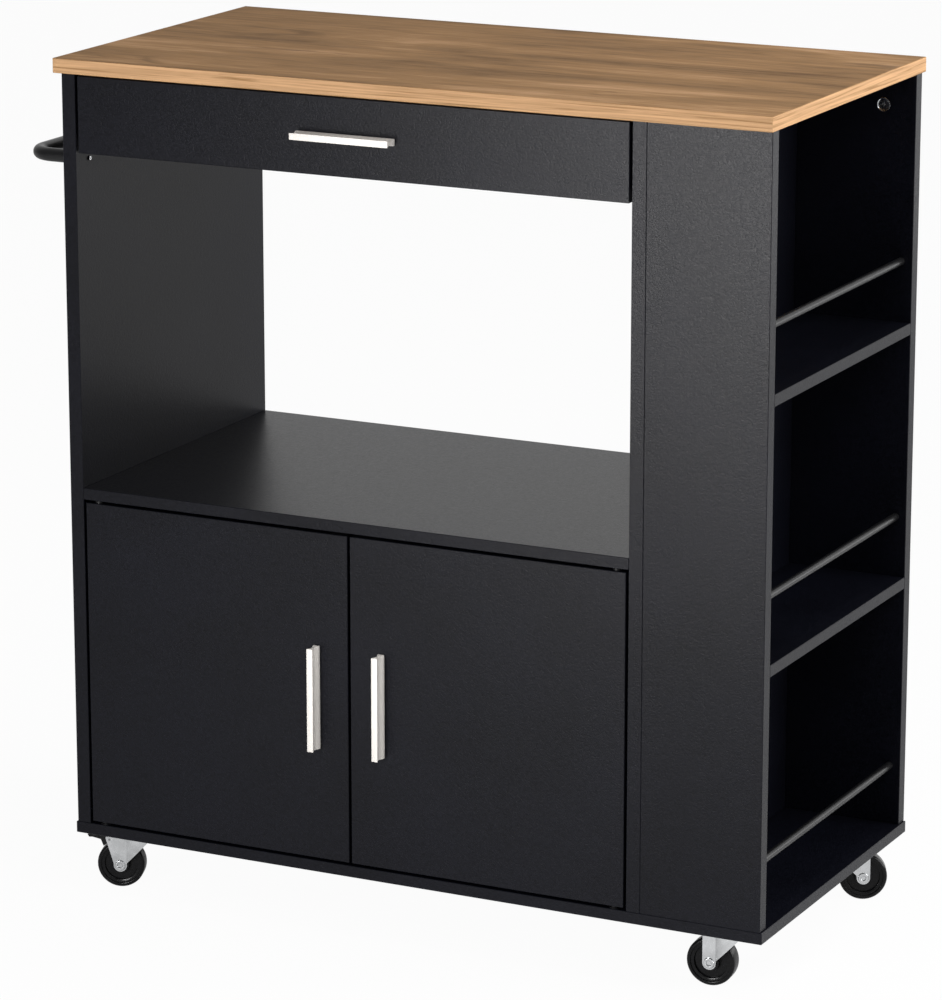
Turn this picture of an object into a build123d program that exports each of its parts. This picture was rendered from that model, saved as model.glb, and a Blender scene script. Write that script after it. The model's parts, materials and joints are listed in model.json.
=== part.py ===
from build123d import *
import os
from collections import namedtuple
from math import cos, radians, sin

# Rolling kitchen cart in laminated board: drawer under an oak-look worktop, open serving bay,
# two-door cabinet, open side rack with guard rails, towel bar and four swivel casters.
# Millimetres. X runs along the worktop, -Y is the front, Z is up from the floor.
# The origin is on the floor under the middle of the whole outline.

os.makedirs("parts", exist_ok=True)

# Carcass boards
carcass_width = 770.0
carcass_depth = 385.0
carcass_height = 800.0
upright_thickness = 15.0
shelf_thickness = 12.0
board_chamfer = 0.5
middle_shelf_height = 372.0
side_rack_width = 128.0
base_side_overhang = 2.0
side_shelf_count = 2

# Worktop
worktop_thickness = 15.0
worktop_front_overhang = 10.0
worktop_side_overhang = 4.0

# Hardboard sheets in grooves
hardboard_thickness = 3.0
groove_depth = 6.0
groove_clearance = 0.2
back_panel_inset = 10.0

# Clearances
front_gap = 3.0
running_clearance = 0.05
seat_clearance = 0.3
cut_overrun = 1.0

# Drawer box
drawer_front_height = 78.0
drawer_board = 12.0
drawer_side_lift = 9.0
drawer_side_drop = 11.0
drawer_back_gap = 5.0
drawer_bottom_lift = 8.0

# Drawer runners, roller type
runner_gap = 12.5
runner_sheet = 1.2
runner_setback = 2.0
runner_side_gap = 2.3
runner_headroom = 1.6
runner_drop = 3.0
runner_step = 0.7
runner_mouth = 26.0
roller_radius = 8.0
roller_setback = 12.0
roller_play = 0.1
roller_bevel = 0.6
roller_stud_radius = 2.0
roller_shoulder_radius = 3.5
roller_shoulder = 1.7

# Handles, an extruded bar with hollow flanks
handle_length = 108.0
handle_depth = 16.0
handle_width = 7.0
handle_waist = 4.8
handle_back_lip = 2.4
handle_front_lip = 3.0
handle_bevel = 0.4
handle_screw_inset = 6.0
handle_screw_radius = 1.5
handle_screw_reach = 7.0
handle_screw_head_radius = 3.6
handle_screw_head = 2.2
door_handle_inset = 35.0

# Doors on pivot pins
pivot_inset = 12.0
pivot_radius = 2.5
pivot_door_depth = 14.0
pivot_bush_reach = 7.0
pivot_collar_radius = 4.6
bush_radius = 4.0
bush_length = 8.5
bush_flange_radius = 5.6
bush_flange = 1.0
strike_width = 20.0
strike_height = 12.0
strike_thickness = 1.2
strike_bevel = 0.3
strike_inset = 4.0
catch_width = 56.0
catch_depth = 14.0
catch_height = 13.0
catch_slot = 3.0

# Cam fittings
cam_radius = 7.5
cam_skirt = 4.5
cam_setback = 34.0
cam_bolt_radius = 2.5
cam_bore_radius = 3.5
cam_bolt_thread = 10.0
cam_edge_inset = 50.0
cam_filler_inset = 35.0

# Screws up through the base board
base_screw_radius = 3.4
base_screw_length = 46.0
base_screw_head_radius = 5.0
base_screw_head = 3.5
base_screw_inset = 60.0

# Small pan-head screws of the runners and casters
pan_screw_radius = 1.9
pan_screw_length = 12.0
pan_head_radius = 3.6
pan_head = 1.5
runner_screw_inset = 45.0

# Guard rails of the side rack
rail_radius = 4.0
rail_height = 63.0
rail_inset = 12.0
rail_socket_depth = 8.0

# Towel bar
towel_bar_radius = 7.0
towel_bar_projection = 53.0
towel_bar_bend = 25.0
towel_bar_drop = 90.0
towel_bar_inset = 24.0
towel_screw_radius = 2.5
towel_screw_reach = 12.0
towel_screw_head_radius = 5.0
towel_screw_head = 2.4

# Casters
caster_inset_x = 48.0
caster_inset_y = 46.0
caster_trail = 20.0
wheel_radius = 25.0
wheel_width = 18.0
wheel_hub_width = 20.0
wheel_hub_radius = 9.0
wheel_web_width = 10.0
wheel_rim = 5.0
tread_round = 3.0
axle_radius = 4.0
axle_head_radius = 5.6
axle_head = 1.5
plate_length = 50.0
plate_width = 42.0
plate_corner = 6.0
plate_thickness = 2.0
plate_hole_radius = 2.4
plate_hole_inset = 6.0
plate_dish_radius = 14.0
plate_dish = 3.0
kingpin_radius = 4.0
kingpin_head_radius = 6.5
kingpin_head = 2.0
fork_sheet = 2.0
fork_side_gap = 0.5
fork_crown_gap = 4.0
fork_crown_radius = 15.0
fork_reach = 5.5
fork_heel = 12.0
fork_toe_radius = 7.0
fork_dish_radius = 13.0
fork_dish = 3.7
race_taper = 20.0

# Brake pedals of the left-hand casters
brake_pin_radius = 2.0
brake_pin_forward = 11.0
brake_pin_gap = 3.0
brake_boss_radius = 3.3
brake_ear = 4.0
brake_side_gap = 1.0
brake_arm = 3.0
brake_reach = 22.0
brake_lift = 4.0
brake_tread_length = 10.0
brake_tread_overhang = 3.0
brake_tread_corner = 1.0
brake_shoe_gap = 1.8
brake_shoe_start = 48.0
brake_shoe_end = 60.0

# Swivel angle of each caster as it stands, seen from above, from +X to the trailing wheel
caster_angles = {"front_left": 200.0, "front_right": 185.0, "back_left": 160.0, "back_right": 25.0}
braked_casters = ("front_left", "back_left")

# Places along X
towel_bar_reach = towel_bar_projection + towel_bar_radius
outline_width = towel_bar_reach + carcass_width + worktop_side_overhang
carcass_left = towel_bar_reach - outline_width / 2
carcass_right = carcass_left + carcass_width
left_inner = carcass_left + upright_thickness
divider_right = carcass_right - side_rack_width
divider_left = divider_right - upright_thickness
bay_middle = (left_inner + divider_left) / 2
mirror_plane = Plane.YZ.offset(bay_middle)

# Places along Y
front_reach = max(handle_depth, worktop_front_overhang)
carcass_front = front_reach - (front_reach + carcass_depth) / 2
carcass_back = carcass_front + carcass_depth
front_inner = carcass_front + upright_thickness
back_inner = carcass_back - upright_thickness
drawer_box_back = back_inner - drawer_back_gap
runner_front = front_inner + runner_setback
runner_length = drawer_box_back - front_inner
runner_back = runner_front + runner_length

# Places along Z: each caster stacks up from its wheel to its plate
crown_bottom = 2 * wheel_radius + fork_crown_gap
crown_top = crown_bottom + fork_sheet
plate_bottom = crown_top + fork_dish + seat_clearance + plate_dish
caster_height = plate_bottom + plate_thickness
base_top = caster_height + shelf_thickness
worktop_bottom = caster_height + carcass_height
cart_top = worktop_bottom + worktop_thickness
shelf_top = caster_height + middle_shelf_height
shelf_bottom = shelf_top - shelf_thickness
drawer_front_top = worktop_bottom - front_gap
drawer_front_bottom = drawer_front_top - drawer_front_height
drawer_side_bottom = drawer_front_bottom + drawer_side_lift
drawer_side_top = drawer_front_top - drawer_side_drop
drawer_bottom_z = drawer_side_bottom + drawer_bottom_lift
rack_bay_count = side_shelf_count + 1
rack_clear_height = (worktop_bottom - base_top - side_shelf_count * shelf_thickness) / rack_bay_count
rack_step = rack_clear_height + shelf_thickness
rack_floors = [base_top + step * rack_step for step in range(rack_bay_count)]
towel_bar_z = worktop_bottom - towel_bar_drop


def save(builder, name):
    """Labels a finished piece and writes it under its own name."""
    builder.part.label = name
    export_step(builder.part, f"parts/{name}.step")


def slab(low, high, ease=board_chamfer):
    """Adds a board between two opposite corners and eases all its edges."""
    size = [top - bottom for bottom, top in zip(low, high)]
    with Locations(low):
        Box(*size, align=(Align.MIN, Align.MIN, Align.MIN))
    chamfer(edges(Select.LAST), ease)


def trench(low, high):
    """Cuts a square groove between two opposite corners."""
    size = [top - bottom for bottom, top in zip(low, high)]
    with Locations(low):
        Box(*size, align=(Align.MIN, Align.MIN, Align.MIN), mode=Mode.SUBTRACT)


def drill(planes, radius, depth):
    """Drills blind holes into the faces that the planes lie on, each plane facing out of its board."""
    with Locations(*planes):
        Hole(radius, depth)


def pegs(planes, radius, length):
    """Adds round pegs that stand on the planes."""
    for plane in planes:
        with BuildSketch(plane) as section:
            Circle(radius)
        extrude(section.sketch, amount=length)


def headed_screws(planes, shank_radius, shank_length, head_radius, head_height):
    """Adds screws whose heads sit on the planes, with the shanks pointing into the boards."""
    pegs([Plane(plane.origin, plane.x_dir, -plane.z_dir) for plane in planes], shank_radius, shank_length)
    for plane in planes:
        with BuildSketch(plane) as section:
            Circle(head_radius)
        extrude(section.sketch, amount=head_height)


# Cam fittings: a round cam in one board draws in a bolt that is screwed into the next board.
# face lies on the cam's board and looks out of it, joint lies where the boards meet and looks
# into the board that holds the bolt.
CamFitting = namedtuple("CamFitting", "cam_board bolt_board face joint cam_depth")


def cam_fitting(cam_board, bolt_board, edge_point, face_normal, bolt_way, thickness):
    """Places a fitting from the point where its bolt crosses the joint between the boards."""
    joint = Plane(edge_point, z_dir=bolt_way)
    centre = Vector(*edge_point) - Vector(*bolt_way) * cam_setback
    face = Plane(centre + Vector(*face_normal) * (thickness / 2), z_dir=face_normal)
    return CamFitting(cam_board, bolt_board, face, joint, thickness / 2 + cam_skirt)


east, west = (1, 0, 0), (-1, 0, 0)
north, south = (0, 1, 0), (0, -1, 0)
up, down = (0, 0, 1), (0, 0, -1)
end_rows = (carcass_front + cam_edge_inset, carcass_back - cam_edge_inset)
left_panel_middle = carcass_left + upright_thickness / 2
divider_middle = divider_left + upright_thickness / 2
front_filler_middle = carcass_front + upright_thickness / 2
back_filler_middle = carcass_back - upright_thickness / 2
filler_cam_x = carcass_right - cam_filler_inset
rail_board_middle_z = (drawer_front_bottom + worktop_bottom) / 2
shelf_middle_z = shelf_top - shelf_thickness / 2
side_shelf_names = ("side_shelf_lower", "side_shelf_upper")
side_shelf_x = (divider_right + carcass_right) / 2

cam_fittings = []
for row in end_rows:
    cam_fittings += [
        cam_fitting("left_panel", "worktop", (left_panel_middle, row, worktop_bottom),
                    east, up, upright_thickness),
        cam_fitting("divider_panel", "worktop", (divider_middle, row, worktop_bottom),
                    west, up, upright_thickness),
        cam_fitting("middle_shelf", "left_panel", (left_inner, row, shelf_middle_z),
                    down, west, shelf_thickness),
        cam_fitting("middle_shelf", "divider_panel", (divider_left, row, shelf_middle_z),
                    down, east, shelf_thickness),
    ]
cam_fittings += [
    cam_fitting("front_filler_panel", "worktop", (filler_cam_x, front_filler_middle, worktop_bottom),
                north, up, upright_thickness),
    cam_fitting("back_filler_panel", "worktop", (filler_cam_x, back_filler_middle, worktop_bottom),
                south, up, upright_thickness),
    cam_fitting("rear_rail", "left_panel", (left_inner, back_filler_middle, rail_board_middle_z),
                south, west, upright_thickness),
    cam_fitting("rear_rail", "divider_panel", (divider_left, back_filler_middle, rail_board_middle_z),
                south, east, upright_thickness),
]
for name, floor in zip(side_shelf_names, rack_floors[1:]):
    middle_z = floor - shelf_thickness / 2
    cam_fittings += [
        cam_fitting(name, "front_filler_panel", (side_shelf_x, front_inner, middle_z),
                    down, south, shelf_thickness),
        cam_fitting(name, "back_filler_panel", (side_shelf_x, back_inner, middle_z),
                    down, north, shelf_thickness),
    ]


def drill_cam_holes(board):
    """Cuts a board's cam pockets, the bores from its edge to them, and its pilot holes for bolts."""
    for fitting in cam_fittings:
        if fitting.cam_board == board:
            drill([fitting.face], cam_radius + running_clearance, fitting.cam_depth)
            drill([fitting.joint], cam_bore_radius, cam_setback)
        if fitting.bolt_board == board:
            into_board = Plane(fitting.joint.origin, z_dir=-fitting.joint.z_dir)
            drill([into_board], cam_bolt_radius + running_clearance, cam_bolt_thread)


# Screws up through the base board into the uprights: the planes lie on the underside and face down
base_screw_rows = (carcass_front + base_screw_inset, (carcass_front + carcass_back) / 2,
                   carcass_back - base_screw_inset)
base_screw_places = {
    "left_panel": [(left_panel_middle, row) for row in base_screw_rows],
    "divider_panel": [(divider_middle, row) for row in base_screw_rows],
    "front_filler_panel": [(side_shelf_x, front_filler_middle)],
    "back_filler_panel": [(side_shelf_x, back_filler_middle)],
}


def drill_base_screws(board):
    """Drills the bottom edge of an upright for the screws that come through the base board."""
    planes = [Plane((*place, base_top), z_dir=down) for place in base_screw_places[board]]
    drill(planes, base_screw_radius + running_clearance, base_screw_length - shelf_thickness)


# Drawer runner and towel bar screw places on the bay's side faces
runner_z = drawer_side_bottom - runner_sheet + runner_drop
runner_height = 2 * (roller_radius + runner_sheet) + runner_headroom
runner_screw_z = runner_z + runner_height / 2
runner_screw_rows = (runner_front + runner_screw_inset, runner_back - runner_screw_inset)
left_runner_screws = [Plane((left_inner, row, runner_screw_z), z_dir=east) for row in runner_screw_rows]
right_runner_screws = [Plane((divider_left, row, runner_screw_z), z_dir=west) for row in runner_screw_rows]
towel_bar_rows = (carcass_front + towel_bar_inset, carcass_back - towel_bar_inset)
towel_screw_planes = [Plane((left_inner, row, towel_bar_z), z_dir=east) for row in towel_bar_rows]

# Guard rail sockets: centre of each rail where it enters the front and back fillers
rail_x = carcass_right - rail_inset
rail_levels = [floor + rail_height for floor in rack_floors]
front_rail_sockets = [Plane((rail_x, front_inner, level), z_dir=north) for level in rail_levels]
back_rail_sockets = [Plane((rail_x, back_inner, level), z_dir=south) for level in rail_levels]

# Door pivots and their bushes
door_left = left_inner + front_gap
door_right = bay_middle - front_gap / 2
door_bottom = base_top + front_gap
door_top = shelf_bottom - front_gap
pivot_x = door_left + pivot_inset
pivot_y = carcass_front + upright_thickness / 2
bush_places = [(x, pivot_y) for x in (pivot_x, 2 * bay_middle - pivot_x)]
upper_bush_planes = [Plane((*place, shelf_bottom), z_dir=down) for place in bush_places]
lower_bush_planes = [Plane((*place, base_top), z_dir=up) for place in bush_places]

# Caster swivels: a plane on the floor under each kingpin, its X axis pointing to the trailing wheel
kingpins = {
    "front_left": (carcass_left + caster_inset_x, carcass_front + caster_inset_y),
    "front_right": (carcass_right - caster_inset_x, carcass_front + caster_inset_y),
    "back_left": (carcass_left + caster_inset_x, carcass_back - caster_inset_y),
    "back_right": (carcass_right - caster_inset_x, carcass_back - caster_inset_y),
}
swivels = {
    corner: Plane((*kingpins[corner], 0), x_dir=(cos(radians(angle)), sin(radians(angle)), 0), z_dir=up)
    for corner, angle in caster_angles.items()
}
plate_hole_spans = (plate_length - 2 * plate_hole_inset, plate_width - 2 * plate_hole_inset)
caster_screw_places = [
    (x + side * plate_hole_spans[0] / 2, y + end * plate_hole_spans[1] / 2)
    for x, y in kingpins.values() for side in (-1, 1) for end in (-1, 1)
]

# Worktop
with BuildPart() as worktop:
    slab((carcass_left - worktop_side_overhang, carcass_front - worktop_front_overhang, worktop_bottom),
         (carcass_right + worktop_side_overhang, carcass_back, cart_top))
    drill_cam_holes("worktop")
save(worktop, "worktop")

# Left panel, with the groove for the cabinet's back and the holes of runner and towel bar
back_panel_rear = carcass_back - back_panel_inset
back_panel_front = back_panel_rear - hardboard_thickness
with BuildPart() as left_panel:
    slab((carcass_left, carcass_front, base_top), (left_inner, carcass_back, worktop_bottom))
    trench((left_inner - groove_depth, back_panel_front - groove_clearance / 2, base_top - cut_overrun),
           (left_inner + cut_overrun, back_panel_rear + groove_clearance / 2, shelf_bottom))
    drill_cam_holes("left_panel")
    drill_base_screws("left_panel")
    drill(left_runner_screws, pan_screw_radius + running_clearance, pan_screw_length - runner_sheet)
    drill(towel_screw_planes, towel_screw_radius + running_clearance, upright_thickness + cut_overrun)
save(left_panel, "left_panel")

# Divider between the bay and the side rack
with BuildPart() as divider_panel:
    slab((divider_left, carcass_front, base_top), (divider_right, carcass_back, worktop_bottom))
    trench((divider_left - cut_overrun, back_panel_front - groove_clearance / 2, base_top - cut_overrun),
           (divider_left + groove_depth, back_panel_rear + groove_clearance / 2, shelf_bottom))
    drill_cam_holes("divider_panel")
    drill_base_screws("divider_panel")
    drill(right_runner_screws, pan_screw_radius + running_clearance, pan_screw_length - runner_sheet)
save(divider_panel, "divider_panel")

# Front and back panels of the side rack, with sockets for the guard rails
with BuildPart() as front_filler_panel:
    slab((divider_right, carcass_front, base_top), (carcass_right, front_inner, worktop_bottom))
    drill_cam_holes("front_filler_panel")
    drill_base_screws("front_filler_panel")
    drill(front_rail_sockets, rail_radius + running_clearance, rail_socket_depth)
save(front_filler_panel, "front_filler_panel")

with BuildPart() as back_filler_panel:
    slab((divider_right, back_inner, base_top), (carcass_right, carcass_back, worktop_bottom))
    drill_cam_holes("back_filler_panel")
    drill_base_screws("back_filler_panel")
    drill(back_rail_sockets, rail_radius + running_clearance, rail_socket_depth)
save(back_filler_panel, "back_filler_panel")

# Base board on the casters
base_screw_planes = [Plane((*place, caster_height), z_dir=down)
                     for places in base_screw_places.values() for place in places]
caster_screw_holes = [Plane((*place, caster_height), z_dir=down) for place in caster_screw_places]
with BuildPart() as base_board:
    slab((carcass_left - base_side_overhang, carcass_front, caster_height),
         (carcass_right + base_side_overhang, carcass_back, base_top))
    with Locations(*base_screw_planes):
        CounterBoreHole(base_screw_radius + running_clearance, base_screw_head_radius + running_clearance,
                        base_screw_head)
    drill(caster_screw_holes, pan_screw_radius + running_clearance, pan_screw_length - plate_thickness)
    drill(lower_bush_planes, bush_radius + running_clearance, bush_length)
save(base_board, "base_board")

# Middle shelf, the floor of the serving bay and the roof of the cabinet
with BuildPart() as middle_shelf:
    slab((left_inner, carcass_front, shelf_bottom), (divider_left, carcass_back, shelf_top))
    drill_cam_holes("middle_shelf")
    drill(upper_bush_planes, bush_radius + running_clearance, bush_length)
save(middle_shelf, "middle_shelf")

# Thin back of the cabinet
panel_slip = groove_depth - seat_clearance
with BuildPart() as cabinet_back_panel:
    with Locations((left_inner - panel_slip, back_panel_front, base_top)):
        Box(divider_left - left_inner + 2 * panel_slip, hardboard_thickness, shelf_bottom - base_top,
            align=(Align.MIN, Align.MIN, Align.MIN))
save(cabinet_back_panel, "cabinet_back_panel")

# Rail across the back, behind the drawer
with BuildPart() as rear_rail:
    slab((left_inner, back_inner, drawer_front_bottom), (divider_left, carcass_back, worktop_bottom))
    drill_cam_holes("rear_rail")
save(rear_rail, "rear_rail")

# Shelves of the side rack
for name, floor in zip(side_shelf_names, rack_floors[1:]):
    with BuildPart() as side_shelf:
        slab((divider_right, front_inner, floor - shelf_thickness), (carcass_right, back_inner, floor))
        drill_cam_holes(name)
    save(side_shelf, name)

# Guard rails
rail_slip = rail_socket_depth - seat_clearance
rail_ends_bevel = board_chamfer
for name, socket in zip(("lower", "middle", "upper"), front_rail_sockets):
    with BuildPart() as guard_rail:
        with BuildSketch(socket.offset(-rail_slip)):
            Circle(rail_radius)
        extrude(amount=back_inner - front_inner + 2 * rail_slip)
        chamfer(guard_rail.faces().filter_by(Axis.Y).edges(), rail_ends_bevel)
    save(guard_rail, f"guard_rail_{name}")

# Towel bar, one bent tube on the outside of the left panel
bar_front, bar_back = towel_bar_rows
bar_line_x = carcass_left - towel_bar_projection
with BuildPart() as towel_bar:
    with BuildLine() as bar_path:
        FilletPolyline((carcass_left, bar_front, towel_bar_z), (bar_line_x, bar_front, towel_bar_z),
                       (bar_line_x, bar_back, towel_bar_z), (carcass_left, bar_back, towel_bar_z),
                       radius=towel_bar_bend)
    with BuildSketch(Plane((carcass_left, bar_front, towel_bar_z), z_dir=west)):
        Circle(towel_bar_radius)
    sweep(path=bar_path.line)
    drill([Plane((carcass_left, row, towel_bar_z), z_dir=east) for row in towel_bar_rows],
          towel_screw_radius + running_clearance, towel_screw_reach + seat_clearance)
save(towel_bar, "towel_bar")

with BuildPart() as towel_bar_screws:
    headed_screws(towel_screw_planes, towel_screw_radius, upright_thickness + towel_screw_reach,
                  towel_screw_head_radius, towel_screw_head)
save(towel_bar_screws, "towel_bar_screws")

# Cams, each with the bore that takes its bolt's end, and the bolts
with BuildPart() as cam_locks:
    for fitting in cam_fittings:
        with BuildSketch(fitting.face):
            Circle(cam_radius)
        extrude(amount=-fitting.cam_depth)
    for fitting in cam_fittings:
        drill([fitting.joint.offset(cam_radius - cam_setback)], cam_bore_radius, 2 * cam_radius)
save(cam_locks, "cam_locks")

with BuildPart() as cam_bolts:
    pegs([fitting.joint.offset(-cam_setback) for fitting in cam_fittings],
         cam_bolt_radius, cam_setback + cam_bolt_thread)
save(cam_bolts, "cam_bolts")

# Screws of the base board, their heads let in flush
with BuildPart() as base_screws:
    headed_screws([plane.offset(-base_screw_head) for plane in base_screw_planes],
                  base_screw_radius, base_screw_length - base_screw_head,
                  base_screw_head_radius, base_screw_head)
save(base_screws, "base_screws")

# Pan-head screws of the casters and of the fixed runners
caster_screw_heads = [Plane((*place, plate_bottom), z_dir=down) for place in caster_screw_places]
runner_screw_heads = [plane.offset(runner_sheet) for plane in left_runner_screws + right_runner_screws]
with BuildPart() as mounting_screws:
    headed_screws(caster_screw_heads + runner_screw_heads, pan_screw_radius, pan_screw_length,
                  pan_head_radius, pan_head)
save(mounting_screws, "mounting_screws")

# Flanged bushes of the door pivots, in the middle shelf and the base board
with BuildPart() as door_pivot_bushes:
    bush_planes = upper_bush_planes + lower_bush_planes
    headed_screws(bush_planes, bush_radius, bush_length, bush_flange_radius, bush_flange)
    drill([plane.offset(bush_flange) for plane in bush_planes],
          pivot_radius + running_clearance, bush_flange + bush_length)
save(door_pivot_bushes, "door_pivot_bushes")

# Double magnetic catch under the shelf, where the doors meet
catch_front = front_inner + strike_thickness + seat_clearance
catch_bottom = shelf_bottom - catch_height
with BuildPart() as magnetic_catch:
    slab((bay_middle - catch_width / 2, catch_front, catch_bottom),
         (bay_middle + catch_width / 2, catch_front + catch_depth, shelf_bottom))
    trench((bay_middle - catch_slot / 2, catch_front - cut_overrun, catch_bottom - cut_overrun),
           (bay_middle + catch_slot / 2, catch_front + catch_depth / 2, shelf_bottom))
save(magnetic_catch, "magnetic_catch")

# Runner sections are drawn seen from the front, x out of the left panel and y up from the runner's foot
runner_section = Plane((left_inner, runner_front, runner_z), x_dir=east, z_dir=south)
lip_bottom = runner_height + runner_step
drawer_web_outer = runner_gap
drawer_web_inner = runner_gap - runner_sheet
runner_flange = drawer_web_inner - runner_side_gap
roller_start = runner_sheet + roller_shoulder + seat_clearance
roller_end = drawer_web_inner - roller_shoulder - seat_clearance
fixed_roller_y = runner_front + roller_setback
moving_roller_y = runner_back - roller_setback
fixed_roller_z = runner_z + lip_bottom - roller_play - roller_radius
moving_roller_z = runner_z + runner_sheet + roller_play + roller_radius


def strip(x_start, x_end, y_start, y_end):
    """Adds one straight limb of a folded section to the sketch in hand."""
    with Locations((x_start, y_start)):
        Rectangle(x_end - x_start, y_end - y_start, align=(Align.MIN, Align.MIN))


# Fixed runner: a channel, its upper flange cut back in front for the roller, with the roller's stud
with BuildPart() as runner_cabinet_left:
    with BuildSketch(runner_section):
        strip(0, runner_sheet, 0, runner_height)
        strip(0, runner_flange, 0, runner_sheet)
        strip(0, runner_flange, runner_height - runner_sheet, runner_height)
    extrude(amount=-runner_length)
    trench((left_inner + runner_sheet, runner_front - cut_overrun, runner_z + runner_height / 2),
           (left_inner + runner_flange + cut_overrun, runner_front + runner_mouth,
            runner_z + runner_height + cut_overrun))
    drill([plane.offset(runner_sheet) for plane in left_runner_screws],
          pan_screw_radius + running_clearance, runner_sheet)
    stud_foot = Plane((left_inner + runner_sheet, fixed_roller_y, fixed_roller_z), z_dir=east)
    pegs([stud_foot], roller_shoulder_radius, roller_shoulder)
    pegs([stud_foot], roller_stud_radius, roller_end - runner_sheet)
save(runner_cabinet_left, "runner_cabinet_left")

with BuildPart() as runner_cabinet_right:
    mirror(runner_cabinet_left.part, about=mirror_plane)
save(runner_cabinet_right, "runner_cabinet_right")

# Moving runner: a web on the drawer side, a foot under it, and a lip that rides on the fixed roller
with BuildPart() as drawer_runner_left:
    with BuildSketch(runner_section):
        strip(drawer_web_inner, drawer_web_outer, -runner_drop, lip_bottom + runner_sheet)
        strip(roller_start, drawer_web_outer, lip_bottom, lip_bottom + runner_sheet)
        strip(drawer_web_inner, drawer_web_outer + drawer_board, -runner_drop, runner_sheet - runner_drop)
    extrude(amount=-runner_length)
    stud_foot = Plane((left_inner + drawer_web_inner, moving_roller_y, moving_roller_z), z_dir=west)
    pegs([stud_foot], roller_shoulder_radius, roller_shoulder)
    pegs([stud_foot], roller_stud_radius, drawer_web_inner - roller_start)
save(drawer_runner_left, "drawer_runner_left")

with BuildPart() as drawer_runner_right:
    mirror(drawer_runner_left.part, about=mirror_plane)
save(drawer_runner_right, "drawer_runner_right")


def roller_pair(centre_y, centre_z):
    """Builds the left and right nylon rollers that share one line across the cart."""
    foot = Plane((left_inner + roller_start, centre_y, centre_z), z_dir=east)
    with BuildPart() as pair:
        with BuildSketch(foot):
            Circle(roller_radius)
            Circle(roller_stud_radius + running_clearance, mode=Mode.SUBTRACT)
        extrude(amount=roller_end - roller_start)
        chamfer(pair.edges().filter_by(GeomType.CIRCLE).group_by(SortBy.RADIUS)[-1], roller_bevel)
        mirror(about=mirror_plane)
    return pair


save(roller_pair(fixed_roller_y, fixed_roller_z), "cabinet_rollers")
save(roller_pair(moving_roller_y, moving_roller_z), "drawer_rollers")

# Drawer box: front, two sides, back and a thin bottom in grooves all round
box_left = left_inner + runner_gap
box_right = 2 * bay_middle - box_left
side_inner = box_left + drawer_board
back_board_front = drawer_box_back - drawer_board
drawer_groove_depth = groove_depth
groove_low = drawer_bottom_z - groove_clearance / 2
groove_high = drawer_bottom_z + hardboard_thickness + groove_clearance / 2
drawer_handle_z = (drawer_front_bottom + drawer_front_top) / 2
handle_screw_span = handle_length - 2 * handle_screw_inset
handle_screw_offsets = (-handle_screw_span / 2, handle_screw_span / 2)
drawer_screw_planes = [Plane((bay_middle + offset, front_inner, drawer_handle_z), z_dir=north)
                       for offset in handle_screw_offsets]

with BuildPart() as drawer_front:
    slab((left_inner + front_gap, carcass_front, drawer_front_bottom),
         (divider_left - front_gap, front_inner, drawer_front_top))
    trench((side_inner - drawer_groove_depth, front_inner - drawer_groove_depth, groove_low),
           (2 * bay_middle - side_inner + drawer_groove_depth, front_inner + cut_overrun, groove_high))
    drill(drawer_screw_planes, handle_screw_radius + running_clearance, upright_thickness + cut_overrun)
save(drawer_front, "drawer_front")

with BuildPart() as drawer_side_left:
    slab((box_left, front_inner, drawer_side_bottom), (side_inner, drawer_box_back, drawer_side_top))
    trench((side_inner - drawer_groove_depth, front_inner - cut_overrun, groove_low),
           (side_inner + cut_overrun, back_board_front + drawer_groove_depth, groove_high))
save(drawer_side_left, "drawer_side_left")

with BuildPart() as drawer_side_right:
    mirror(drawer_side_left.part, about=mirror_plane)
save(drawer_side_right, "drawer_side_right")

with BuildPart() as drawer_back:
    slab((side_inner, back_board_front, drawer_side_bottom),
         (2 * bay_middle - side_inner, drawer_box_back, drawer_side_top))
    trench((side_inner - cut_overrun, back_board_front - cut_overrun, groove_low),
           (2 * bay_middle - side_inner + cut_overrun, back_board_front + drawer_groove_depth, groove_high))
save(drawer_back, "drawer_back")

bottom_slip = drawer_groove_depth - seat_clearance
with BuildPart() as drawer_bottom:
    with Locations((side_inner - bottom_slip, front_inner - bottom_slip, drawer_bottom_z)):
        Box(2 * (bay_middle - side_inner + bottom_slip), back_board_front - front_inner + 2 * bottom_slip,
            hardboard_thickness, align=(Align.MIN, Align.MIN, Align.MIN))
save(drawer_bottom, "drawer_bottom")


def bar_handle(section_plane, screw_planes):
    """Builds a handle bar: two flanges and a waist drawn in between them, drilled from behind.

    The section's x runs across the bar and its y out of the board that carries it.
    """
    half = handle_width / 2
    hollow_start = handle_back_lip
    hollow_end = handle_depth - handle_front_lip
    hollow_middle = (hollow_start + hollow_end) / 2
    with BuildPart() as bar:
        with BuildSketch(section_plane) as section:
            with BuildLine():
                Polyline((0, 0), (half, 0), (half, hollow_start))
                ThreePointArc((half, hollow_start), (handle_waist / 2, hollow_middle), (half, hollow_end))
                Polyline((half, hollow_end), (half, handle_depth), (0, handle_depth))
                mirror(about=Plane.YZ)
            make_face()
        extrude(section.sketch, amount=handle_length)
        ends = bar.faces().filter_by(section_plane).edges()
        chamfer(ends, handle_bevel)
        drill(screw_planes, handle_screw_radius + running_clearance, handle_screw_reach + seat_clearance)
    return bar


def handle_screws(planes):
    """Builds the pair of machine screws that hold a handle, heads on the inside of the board."""
    with BuildPart() as pair:
        headed_screws(planes, handle_screw_radius, upright_thickness + handle_screw_reach,
                      handle_screw_head_radius, handle_screw_head)
    return pair


def onto_front(planes):
    """Moves screw planes from the inside of a front board to the back face of its handle."""
    return [plane.offset(-upright_thickness) for plane in planes]


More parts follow.
